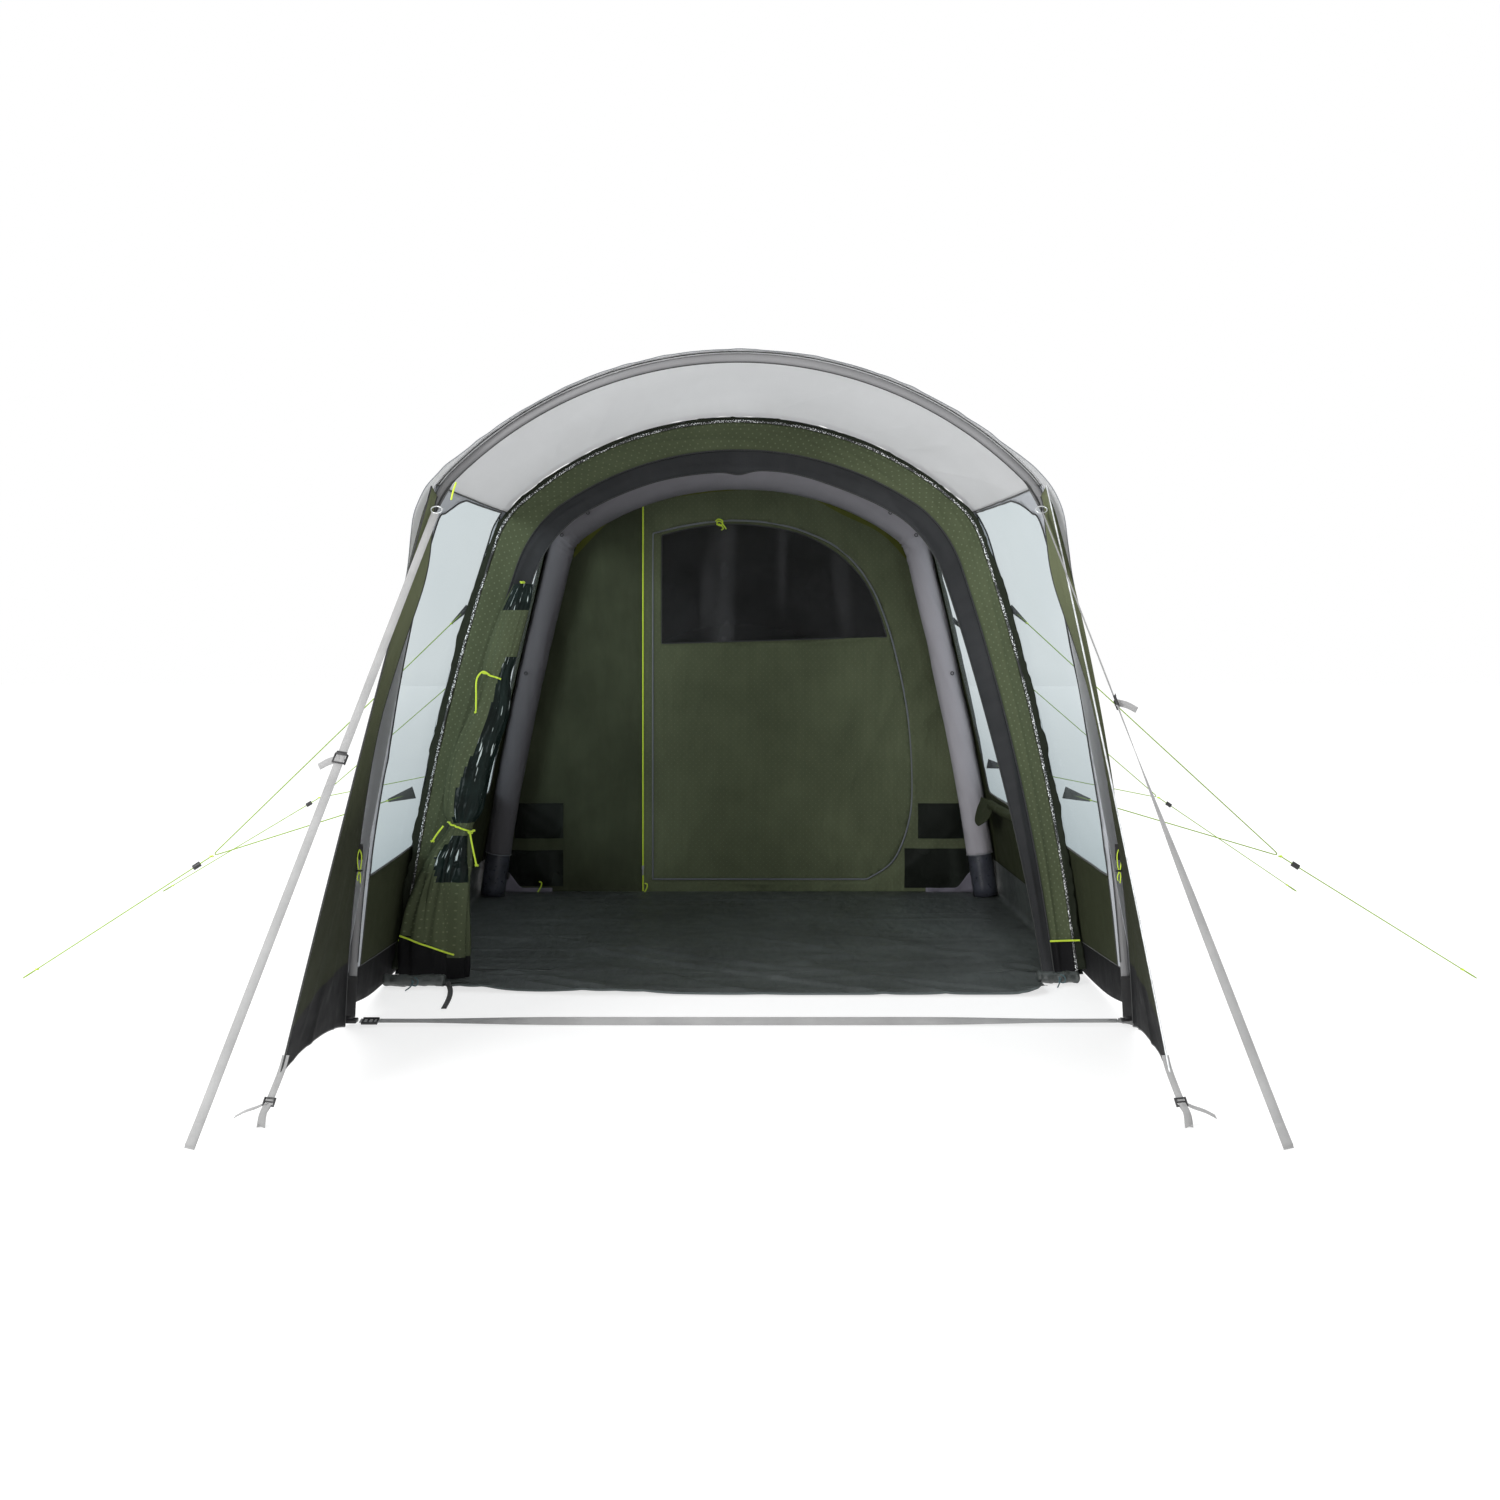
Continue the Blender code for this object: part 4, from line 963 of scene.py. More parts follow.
def porch_wall(side_name, side):
    """Light strip beside the pole, green wall, tinted window with a scalloped head, and a black skirt."""
    width, height, seam = PORCH.length, PORCH_HEIGHT, PORCH.length - 0.002
    at = PORCH.wall(side, height)
    hem = smooth([(0.0, 0.068), (0.10, 0.045), (0.30, 0.016), (0.50, 0.005), (seam, 0.004)])
    top = WALL_TOP * height - 0.001
    outline = np.array([*hem, (seam, top), *[(x, top) for x in np.linspace(width - 0.06, 0.0, 14)]])
    scallop = smooth([(0.160, 0.440), (0.152, 0.80), (0.128, 1.13), (0.118, 1.545), (0.160, 1.610),
                      (0.220, 1.668), (0.270, 1.692)])
    strip = np.array([(0.166, 0.147), (0.166, 0.30), (0.161, 0.425), *scallop[scallop[:, 1] < 1.55]])
    skirt = np.array([(0.0, 0.158), (0.166, 0.147), (seam, 0.110)])
    window = np.array([*scallop, (width - 0.045, 1.697), (width - 0.045, 0.445), (0.168, 0.436)])
    cut = patch(outline, [skirt, strip, closed_line(window)], 0.022)
    x, z = cut[2].T
    pale = x < np.interp(z, strip[:, 1], strip[:, 0], right=1.0)
    pale |= (z > 1.54) & (x < 0.35)
    kinds = np.where(z < np.interp(x, skirt[:, 0], skirt[:, 1]), 2, np.where(pale, 1, 0))
    film = inside(cut[2], window)
    patch_piece(f"porch_wall_cloth_{side_name}", cut, at, ["green_plain", "strip", "black"],
                np.where(film, -1, kinds),
                stands_for=f"porch_wall_{side_name}")
    window_pane(("porch", side_name), cut, at, film, dense(closed_line(window), 0.012), -0.002)
    low_strip = dense(strip[strip[:, 1] < 0.44], 0.02)
    line_piece(f"porch_strip_piping_{side_name}", at(low_strip, -0.002), 0.002, "piping")
    line_piece(f"porch_skirt_seam_{side_name}", at(dense(skirt, 0.02), -0.001), 0.0014, "piping")


def long_wall(prefix, skin, side_name, side, height, window):
    """A side wall of the living area or bedroom, with its black skirt and, in front, its window."""
    width, skirt_top = skin.length, 0.125
    at = skin.wall(side, height)
    xs = np.linspace(0.002, width - 0.002, 30)
    top = WALL_TOP * height - 0.001
    outline = [*[(x, 0.004) for x in xs], *[(x, top) for x in xs[::-1]]]
    skirt = np.array([(0.004, skirt_top), (width - 0.004, skirt_top)])
    loops = [closed_line(rounded(window, 0.05))] if window else []
    cut = patch(outline, [skirt, *loops], 0.026)
    film = inside(cut[2], loops[0]) if window else np.zeros(len(cut[2]), bool)
    kinds = np.where(film, -1, np.where(cut[2][:, 1] < skirt_top, 1, 0))
    patch_piece(f"{prefix}_wall_cloth_{side_name}", cut, at, ["green_plain", "black"], kinds,
                away=(0, 1.0, 0.9), stands_for=f"{prefix}_wall_{side_name}")
    line_piece(f"{prefix}_skirt_seam_{side_name}", at(dense(skirt, 0.03), 0.001), 0.0014, "piping")
    if window:
        window_pane((prefix, side_name), cut, at, film, dense(loops[0], 0.015), 0.0)


LIVING_WINDOW = [(0.09, 0.495), (1.41, 0.495), (1.41, 1.752), (0.09, 1.745)]


def rear_wall_cloth():
    """The sloping rear wall inside the last hoop, with its skirt and a netted vent under a small hood."""
    edge = REAR_HOOP.moved(REAR_Y - 0.002, 0.008).points(np.linspace(0.0015, 0.9985, 140))[:, [0, 2]]

    def at(flat, lift=0.0):
        x, z = flat[:, 0], flat[:, 1]
        slack = 0.006 * noise(x / 0.3, z / 0.5, 51) * fade(z, 0.0, 0.3)
        slack = slack + 0.004 * crease(x / 0.25, z / 0.8, 52, 4)
        y = REAR_Y - 0.002 + REAR_LEAN * z - slack * fade(1.42 - z, 0.0, 0.2) + lift
        return np.stack([x, y, z], -1)

    vent = closed_line(rounded([(-0.34, 0.98), (0.34, 0.98), (0.27, 1.17), (-0.27, 1.17)], 0.05))
    cut = patch(edge, [np.array([(-1.05, 0.16), (1.05, 0.16)]), vent], 0.03)
    kinds = np.where(inside(cut[2], vent), 2, np.where(cut[2][:, 1] < 0.16, 1, 0))
    patch_piece("rear_wall_cloth", cut, at, ["green_plain", "black", "mesh"], kinds,
                away=(0, 0, 0.9), stands_for="rear_wall")
    line_piece("rear_vent_piping", at(dense(vent, 0.015), 0.002), 0.003, "piping", closed=True)
    x = np.linspace(-0.31, 0.31, 40)
    arch = np.cos(x / 0.31 * math.pi / 2) ** 0.7
    rows = []
    for t in np.linspace(0, 1, 12):
        z = 1.205 - 0.13 * t + 0 * x
        y = REAR_Y + REAR_LEAN * z + 0.002 + 0.05 * arch * math.sin(t * math.pi / 2) * 0.9
        rows.append(np.stack([x * (1 + 0.10 * t), np.minimum(y, REAR_Y - 0.01), z + 0.012 * arch * t], -1))
    grid_piece("rear_vent_hood", rows, ["green_plain"], (0.70, 0.16), away=(0, 2.3, 1.0))


# The depth of the wing's fold at heights up the pole
WING_FOLD = ((0.0, 0.010), (0.55, 0.010), (0.90, 0.015), (1.13, 0.036), (1.36, 0.060), (1.50, 0.048),
             (1.62, 0.024))
WING_TIPS = {"left": 1.122, "right": 1.055}


def wing_cloth(side_name, side):
    """The curved triangle in front of the pole, folded in along it, with its black skirt and bound edges."""
    folded, columns, skirt_share = 6, 48, 0.84
    shares, rows = np.linspace(0, 1, 90), []
    pole_edge = CANOPY_HOOP.moved(WING_EDGE_Y, 0)
    heights, depths = smooth(WING_FOLD).T
    tip = np.array((WING_TIPS[side_name], WING_TIP_Y, 0.10))
    for t in shares:
        row = []
        for k in range(columns):
            u = max(0.0, (k - folded) / (columns - 1 - folded))
            skirt = (1.632 + 0.010 * u - 0.20) / (1.629 - 0.088 * u)
            if t < skirt_share:
                v = t / skirt_share * skirt
            else:
                v = skirt + (t - skirt_share) / (1 - skirt_share) * (1 - skirt)
            place = 1 - (1.010 * (1 - v) + 0.002 * v) / 4
            edge = pole_edge.points(place)
            inward = pole_edge.inwards(place) * np.interp(edge[2], heights, depths)
            if k < folded:
                row.append(edge + inward * (k / folded) + np.array((0, 0.003 * (1 - k / folded), 0)))
                continue
            far = np.array((0.928, WING_EDGE_Y - 0.03, 1.642)) * (1 - v) + tip * v
            far = far + np.array((0.02, 0.05, 0)) * (4 * v * (1 - v))
            lift = 0.03 * v**4 * 4 * u * (1 - u)
            row.append((edge + inward) * (1 - u) + far * u + np.array((0, -0.003, lift)))
        rows.append(row)
    points = np.array(rows)
    t, u = shares[:, None], np.maximum(0, (np.arange(columns)[None, :] - folded) / (columns - 1 - folded))
    pull = 0.006 * np.sin(math.pi * u) * fade(t, 0.05, 0.5)
    folds = crease((u * 1.4 - t) * 4.0, (u + t) * 1.2, 62, 4)
    points[..., 0] -= pull * (noise(u * 3 + t * 2, t * 5 - u * 2, 61) + folds)
    points[..., 0] *= side
    kinds = np.where(shares[:-1] >= skirt_share - 1e-6, 1, 0)[:, None] * np.ones(columns - 1, int)[None, :]
    grid_piece(f"wing_cloth_{side_name}", points, ["wing", "black"], (0.86, 1.78),
               kinds=kinds, away=(0, -1.9, 0.8), stands_for=f"wing_{side_name}")
    # The right wing's front binding is drawn pale and shiny and the left one black: painted highlight on the
    # side the light falls on.
    line_piece(f"wing_front_binding_{side_name}", points[:, -1], 0.0024, "piping" if side < 0 else "shiny")
    line_piece(f"wing_hem_binding_{side_name}", points[-1], 0.0024, "piping")
    line_piece(f"wing_fold_binding_{side_name}", points[:, folded], 0.0032, "piping")
    wing_peg_strap(side_name, side, points[-1, -1])


def wing_peg_strap(side_name, side, tip):
    """The strap from the wing's tip: sewn on, down through a ladder lock, to a peg loop and a loose tail."""
    x, y, z = tip
    lock = np.array((x + 0.008 * side, y - 0.055, 0.052))
    ground = np.array((x + 0.016 * side, PEG_Y + 0.012, 0.006))
    middle, across = (lock + ground) / 2, (1.0 * side, 0.25, 0.0)
    sewn = smooth([(x - 0.004 * side, y + 0.026, z + 0.040), (x - 0.001 * side, y + 0.004, z + 0.008), lock])
    ribbon(f"wing_strap_upper_{side_name}", sewn, 0.020, 0.0016, across, "webbing")
    loop = smooth([lock, middle + (0.004 * side, -0.002, 0.003), ground,
                   ground + (0.004 * side, 0.007, -0.001), middle + (0.010 * side, 0.012, -0.004),
                   lock + (0.002 * side, 0.006, -0.004)])
    ribbon(f"wing_strap_loop_{side_name}", loop, 0.020, 0.0014, across, "webbing")
    tail = smooth([lock + (0.002 * side, 0.002, 0), lock + (0.030 * side, 0.006, -0.014),
                   lock + (0.062 * side, 0.010, -0.026), lock + (0.088 * side, 0.012, -0.040)])
    ribbon(f"wing_strap_tail_{side_name}", tail, 0.018, 0.0012, (0.15, 1.0, 0.2), "webbing")
    matrix = Matrix.Translation(lock) @ frame_along(sewn[-2], ground, across)
    bars = [(0, z) for z in (-0.009, 0, 0.009)]
    boxes = ladder((0.0035, 0.006, 0.022), 0.0135, (0.028, 0.0035, 0.004), bars)
    joined_boxes(f"wing_ladder_lock_{side_name}", boxes, matrix, 0.001)


# ---------------------------------------------------------------------------
# Pole and tubes


def sleeve_surface(hoop, s, radii, sides, wrinkle, seed, rise=0.0):
    """Rings round a hoop, wrinkled at its shoulders and creased along its legs; the crown may rise."""
    inward, across, off_crown = hoop.inwards(s), hoop.across(), np.abs(s - 0.5)
    centre = hoop.points(s) - inward * (rise * fade(0.30 - off_crown, 0.0, 0.12))[:, None]
    angle = 2 * math.pi * np.arange(sides) / sides
    run = s[:, None] * 5.3
    bend = np.exp(-(((off_crown - 0.25) / 0.022) ** 2))[:, None]
    leg = (off_crown > 0.27)[:, None]
    x, y = np.cos(angle)[None, :], np.sin(angle)[None, :]
    ridges = crease(run / 0.11 + 2.2 * x + 1.1 * y, run / 0.30 - 1.6 * y, seed, 4)
    pinch = crease(run / 0.020 + x, 1.5 * y + 0 * run, seed + 1, 2)
    depth = wrinkle * (0.55 * ridges * (0.4 + 0.6 * leg) + 1.3 * bend * pinch * (0.5 + 0.5 * x))
    depth = depth + wrinkle * 0.35 * noise(run / 0.30 + x, 2 * y + 0 * run, seed + 2)
    rows = []
    for k in range(sides):
        direction = radii[0] * math.cos(angle[k]) * inward + radii[1] * math.sin(angle[k]) * across[None, :]
        size = np.linalg.norm(direction, axis=1)[:, None]
        rows.append(centre + direction / size * (size - depth[:, k:k + 1]))
    return np.stack(rows, axis=1)


def pole_sleeve():
    hoop = CANOPY_HOOP.moved(POLE_Y, POLE_INSET)
    foot = hoop.at_height(-1, POLE_SLEEVE_FOOT_Z)
    points = sleeve_surface(hoop, np.linspace(foot, 1 - foot, 420), POLE_SLEEVE, 28, 0.0022, 71)
    grid_piece("front_pole_sleeve_cloth", points, ["pole_sleeve"], (0.090, 5.06), closed=True,
               thickness=0.0008, stands_for="front_pole_sleeve")
    show_node("front_pole", "rod")
    for side_name, side in SIDES.items():
        pole_foot(hoop, side_name, side, foot)


def pole_foot(hoop, side_name, side, foot):
    """The black webbing stirrup that the pole stands in, and the cord and toggle above it."""
    s = np.linspace(foot * 1.06, 0.0045, 12)
    path = hoop.points(s if side < 0 else 1 - s)
    path[:, 1] -= 0.0105
    ribbon(f"pole_foot_webbing_{side_name}", path, 0.036, 0.002, (1, 0, 0), "black_webbing")
    behind = path + np.array((0.004 * side, 0.021, 0.0))
    ribbon(f"pole_foot_back_{side_name}", behind, 0.030, 0.002, (1, 0, 0), "black_webbing")
    block = Matrix.Translation((path[-1][0], path[-1][1] + 0.010, 0.014))
    boxes = [((0.042, 0.030, 0.012), (0, 0, 0)), ((0.030, 0.022, 0.016), (0.004 * side, 0, 0.012))]
    joined_boxes(f"pole_foot_block_{side_name}", boxes, block, 0.003)
    tie = hoop.points(np.array([hoop.at_height(side, 0.54)]))[0] + np.array((0.002 * side, -0.042, 0))
    sewn = [tie + np.array((0, -0.001, z)) for z in np.linspace(-0.026, 0.022, 5)]
    ribbon(f"pole_tie_patch_{side_name}", sewn, 0.022, 0.0015, (1, 0, 0), "black_webbing")
    cords = {
        "loop": [(0, 0, 0.006), (0.007, -0.004, -0.012), (0.006, -0.006, -0.040), (0.001, -0.006, -0.060),
                 (-0.004, -0.006, -0.040), (-0.005, -0.004, -0.012), (0, -0.001, 0.006)],
        "tail_0": [(0.001, -0.006, -0.058), (0.0048, -0.008, -0.075), (0.003, -0.006, -0.095)],
        "tail_1": [(0.001, -0.006, -0.058), (-0.0048, -0.008, -0.075), (-0.003, -0.007, -0.088)],
    }
    for name, points in cords.items():
        piece = name.replace("_", f"_{side_name}_") if "_" in name else f"{name}_{side_name}"
        line_piece(f"pole_tie_{piece}", smooth(points, 5) + tie, 0.0018, "lime")
    toggle = Matrix.Translation(tie + np.array((0.0, -0.007, -0.058)))
    joined_boxes(f"pole_tie_toggle_{side_name}", [((0.022, 0.006, 0.006), (0, 0, 0))], toggle, 0.002)


def air_tube(prefix, hoop, y, seed, toggles):
    """A sewn sleeve over the bladder, whose glossy feet stand out below it."""
    sides, zip_column, ring_column = 44, 25, 31
    hoop = hoop.moved(y, TUBE_INSET)
    end = hoop.at_height(-1, SLEEVE_END_Z)
    s = np.linspace(end, 1 - end, 460)
    points = sleeve_surface(hoop, s, (SLEEVE_RADIUS, SLEEVE_RADIUS), sides, 0.0065, seed, TUBE_RISE)
    grid_piece(f"{prefix}_tube_sleeve_cloth", points, ["sleeve"], (2 * math.pi * SLEEVE_RADIUS, 4.9),
               closed=True, thickness=0.0008, stands_for=f"{prefix}_tube_sleeve")
    foot = hoop.at_height(-1, TUBE_FOOT_Z)
    inner = np.linspace(foot, 1 - foot, 160)
    bladder = sleeve_surface(hoop, inner, (TUBE_RADIUS, TUBE_RADIUS), 40, 0.0014, seed + 30, TUBE_RISE)
    core = bladder.mean(1, keepdims=True)
    bladder = core + (bladder - core) * (1 - 0.14 * fade(core[..., 2:], 0.20, 0.27))
    grid_piece(f"{prefix}_bladder", bladder, ["bladder"], closed=True, capped=True, thickness=0.0,
                         stands_for=f"{prefix}_air_tube")
    for k, end in enumerate((0, -1)):
        line_piece(f"{prefix}_sleeve_hem_{k}", points[end], 0.0024, "grey_piping",
                   closed=True)
    seam = points[:, zip_column] + (points[:, zip_column] - points.mean(1)) * 0.03
    line_piece(f"{prefix}_sleeve_zip", seam, 0.0022, "piping")
    for k, place in enumerate(toggles):
        row = int(np.argmin(np.abs(s - place)))
        point = Vector(points[row, ring_column])
        out = (point - Vector(points[row].mean(0))).normalized()
        turn = frame_along((0, 0, 0), out, (0, 0, 1)).to_3x3()
        ring = oval(point + out * 0.003, turn @ Vector((0.0075, 0, 0)), turn @ Vector((0, 0.0075, 0)), 22)
        line_piece(f"{prefix}_sleeve_ring_{k}", ring, 0.0020, "plastic", closed=True)
    for part in ("body", "pin", "cap"):
        show_node(f"{prefix}_valve_{part}", "plastic")


# ---------------------------------------------------------------------------
# Door arch and the gathered door


def across_arch(outer, inner, s, count):
    """A grid of points from the inner outline to the outer one."""
    near, far = inner.points(s), outer.points(s)
    return np.stack([near * (1 - t) + far * t for t in np.linspace(0, 1, count)])


def door_wall():
    """The green arch: dotted cloth, a black foot, and the zipped ruffle round its outer edge."""
    foot = DOOR_OUTER.at_height(-1, 0.126)
    s = np.concatenate([np.linspace(0.002, foot, 8)[:-1], np.linspace(foot, 1 - foot, 400),
                        np.linspace(1 - foot, 0.998, 8)[1:]])
    run, out = s * 5.3, -DOOR_OUTER.across()
    on_leg = fade(np.abs(s - 0.5), 0.24, 0.30)
    t = np.linspace(0, 1, 22)[:, None]
    middle = np.sin(math.pi * t)
    points = across_arch(DOOR_OUTER.moved(DOOR_Y, 0.033), DOOR_MIDDLE.moved(DOOR_Y, -0.0015), s, 22)
    height = 0.006 * middle * noise(run / 0.5, t, 81) + 0.0022 * t**4 * noise(run / 0.035, t, 82)
    height += 0.006 * middle * crease(t * 2.2 + run * 0.7, run / 0.9, 83, 5) * on_leg
    height += 0.005 * middle * crease(t * 3 + run * 3.0, run / 0.45, 84, 6) * (1 - on_leg)
    points = points + height[..., None] * out
    footed = (s[:-1] < foot - 1e-6) | (s[:-1] > 1 - foot - 1e-6)
    grid_piece("door_wall_cloth", points, ["green", "black"], (0.19, 5.30),
               kinds=np.broadcast_to(footed, (21, len(footed))), away=(0, 3, 0.9), stands_for="door_wall")

    tape = across_arch(DOOR_OUTER.moved(DOOR_Y, 0.024), DOOR_OUTER.moved(DOOR_Y, 0.034), s, 5)
    lift = 0.0035 + 0.0015 * noise(run / 0.05, 0, 85)
    tape = tape + (np.sin(math.pi * np.linspace(0, 1, 5))[:, None] * 0.0015 + lift[None, :])[..., None] * out
    grid_piece("door_zip_tape", tape, ["zip"], (0.0105, 5.35), away=(0, 3, 0.9),
               thickness=0.001)

    s = np.linspace(0.004, 0.996, 700)
    run = s * 5.4
    loose = 0.4 + 0.6 * fade(np.abs(s - 0.5), 0.20, 0.32)
    frill = 0.013 + 0.022 * (loose - 0.4)
    frill = frill + loose * (0.007 * noise(run / 0.083, 0, 86) + 0.004 * noise(run / 0.021, 0, 89))
    rows = []
    for t in np.linspace(0, 1, 6):
        ragged = 0.6 * noise(run / 0.037, t * 0.5, 87) + 0.5 * noise(run / 0.016, t, 88)
        wave = (0.0035 + 0.007 * t * loose * ragged)[:, None]
        rows.append(DOOR_OUTER.points(s) + DOOR_OUTER.inwards(s) * (0.027 - t * frill)[:, None] + wave * out)
    grid_piece("door_ruffle", rows, ["ruffle"], (0.026, 5.6), away=(0, 3, 0.9),
               thickness=0.001)
    for side_name, place in (("left", foot), ("right", 1 - foot)):
        ends = [hoop.points(np.array([place]))[0] for hoop in (DOOR_MIDDLE, DOOR_OUTER.moved(DOOR_Y, 0.006))]
        line_piece(f"door_foot_piping_{side_name}", np.linspace(*ends, 8) + out * 0.006, 0.0035, "lime")


def door_band():
    """The dark band round the opening, which dips a little at its crown."""
    s = np.linspace(0.002, 0.998, 430)
    t = np.linspace(0, 1, 14)[:, None]
    run, out = s * 5.1, -DOOR_OUTER.across()
    dip = 0.014 * np.exp(-(((s - 0.5) * 5.1 / 0.075) ** 2)) + 0.004 * noise(run / 0.4, 0, 91)
    points = across_arch(DOOR_MIDDLE, DOOR_INNER, s, 14)
    points = points + DOOR_INNER.inwards(s)[None] * ((1 - t) ** 1.5 * dip)[..., None]
    folds = 0.010 * crease(t * 1.6 + run * 0.35, run / 0.8, 92, 4) + 0.006 * noise(t * 2, run / 0.25, 93)
    curl = 0.010 * (1 - t) ** 2 * noise(run / 0.5, 0, 94)
    points = points + (np.sin(math.pi * t) ** 0.7 * folds + curl)[..., None] * out
    grid_piece("door_band_cloth", points, ["band"], (0.085, 5.0), away=(0, 3, 0.9),
               stands_for="door_edge_band")
    line_piece("door_band_piping", DOOR_MIDDLE.points(s) + out * 0.003, 0.0024, "piping")
    line_piece("door_opening_piping", points[0] + out * 0.001, 0.0022, "piping")


#   height  centre x  half width  half depth
DOOR_BUNDLE = smooth((
    (0.008, -1.064, 0.136, 0.038),
    (0.095, -1.062, 0.138, 0.044),
    (0.270, -1.052, 0.120, 0.045),
    (0.420, -1.022, 0.092, 0.044),
    (0.528, -0.987, 0.050, 0.034),
    (0.590, -0.978, 0.082, 0.040),
    (0.757, -0.950, 0.090, 0.040),
    (0.930, -0.893, 0.076, 0.036),
    (1.058, -0.872, 0.056, 0.026),
    (1.130, -0.856, 0.060, 0.032),
    (1.300, -0.808, 0.055, 0.032),
    (1.395, -0.782, 0.038, 0.022),
), 8)
TIES = (0.528, 1.058)


def bundle_at(z, angle, share=1.0):
    """The gathered door's surface at a height and an angle; a share below 1 lies inside it."""
    x, half_width, half_depth = (np.interp(z, DOOR_BUNDLE[:, 0], DOOR_BUNDLE[:, k]) for k in (1, 2, 3))
    y = DOOR_Y + FRONT_LEAN * z - 0.052
    tied = sum(np.exp(-((z - tie) / 0.040) ** 2) for tie in TIES)
    fan = np.exp(-(((z - 0.40) / 0.16) ** 2))
    sway = 1.3 * noise(z / 0.50, 0.0, 95) + 0.5 * noise(z / 0.16, 3.0, 96)
    valleys = np.zeros(np.broadcast(z, angle).shape)
    for k, (count, deep) in enumerate(((5, 0.20), (9, 0.19), (17, 0.09))):
        valleys = valleys + deep * (1 - np.abs(np.sin(count * angle / 2 + sway * (k + 1) + k))) ** 2
    size = share * (1.0 - valleys * (0.75 + 0.5 * tied + 0.45 * fan))
    pleats = crease(angle * 2.4 + 1.2 * (z - 0.5), z * 0.9 + 0.3 * angle, 98, 5) * fade(0.54 - z, 0.0, 0.05)
    size = size - share * 0.40 * pleats * (0.5 + 0.5 * fan)
    size = size * (1 + 0.05 * np.sin(angle * 2 + z * 7) + 0.03 * np.sin(angle * 3 - z * 11))
    across, back = half_width * np.cos(angle) * size, half_depth * np.sin(angle) * size
    return np.stack([x + across, y + back, z + 0 * angle], -1)


def rolled_door():
    """The front door rolled to the left in seven turns and tied twice; its clear window shows in places."""
    z = np.linspace(0.008, 1.395, 190)[:, None]
    turn = np.linspace(0, 7, 7 * 58 + 1)[None, :]
    points = bundle_at(z, turn * 2 * math.pi + math.pi * 0.5, 1 - 0.11 * turn)
    middle = (turn[:, 1:] + turn[:, :-1]) / 2 % 1
    height = (z[1:] + z[:-1]) / 2
    aside = -np.sin(2 * math.pi * middle)
    hem_line = np.where(middle < 0.25, 0.100, np.where(aside > 0.54, 0.085, 0.157 - 0.041 * (aside + 1)))
    past = middle - 0.385
    low_pane = (height > np.maximum(0.335, 0.42 - 1.1 * past)) & (past > 0) & (middle < 0.68)
    low_pane = low_pane & (height < np.minimum(0.50, 0.42 + 1.3 * past))
    pane_edge = np.interp(height, (0.55, 0.67, 0.80, 1.00, 1.13), (0.42, 0.44, 0.50, 0.51, 0.57))
    # Past about 0.76 round to 0.92 the nearly black film covers the bundle's right side toward the middle
    # tube: painted shade there, besides the window's own film.
    long_pane = (height > 0.545) & (height < 1.13) & (middle > pane_edge) & (middle < 0.92)
    panes = low_pane | long_pane | ((height > 1.300) & (middle > 0.3))
    kinds = np.where(panes, 2, np.where(height < hem_line, 1, 0))
    grid_piece("rolled_door_cloth", points, ["green", "black", "vinyl"], (2.16, 1.83),
               size=3.10, kinds=kinds, thickness=0.0, stands_for="rolled_door")

    front = np.linspace(1.12, 1.70, 6) * math.pi
    hem = smooth(bundle_at(0.157 - 0.041 * (np.cos(front) + 1), front, 1.06), 7)
    line_piece("rolled_door_piping", hem, 0.0032, "lime")
    for k, (tie, last) in enumerate(zip(TIES, (2.0, 1.64))):
        ring = np.linspace(0.98 if k else 0, last, 60, endpoint=bool(k)) * math.pi
        loop = bundle_at(tie - 0.016 * np.cos(ring), ring, 1.05)
        line_piece(f"door_tie_{k}", loop, 0.0032, "lime", closed=not k)
    x, y = -0.943, DOOR_Y + FRONT_LEAN * 0.5 - 0.105
    tails = {
        "low_right": [(x, y, 0.513), (x + 0.010, y - 0.010, 0.470), (x + 0.024, y - 0.006, 0.400)],
        "low_left": [(x - 0.096, y + 0.012, 0.536), (x - 0.115, y, 0.510), (x - 0.132, y, 0.484)],
        "high": [(-0.893, -1.125, 1.066), (-0.915, -1.133, 1.078), (-0.936, -1.138, 1.050),
                 (-0.938, -1.138, 0.990), (-0.939, -1.136, 0.932)],
    }
    for name, points in tails.items():
        line_piece(f"door_tie_tail_{name}", smooth(points), 0.0032, "lime")
        knot(f"door_tie_knot_{name}", points[-1], 0.013)
    knot("door_tie_knot_right", (x, y, 0.514), 0.018)
    knot("door_tie_knot_top", (-0.782, -1.085, 1.400), 0.018)


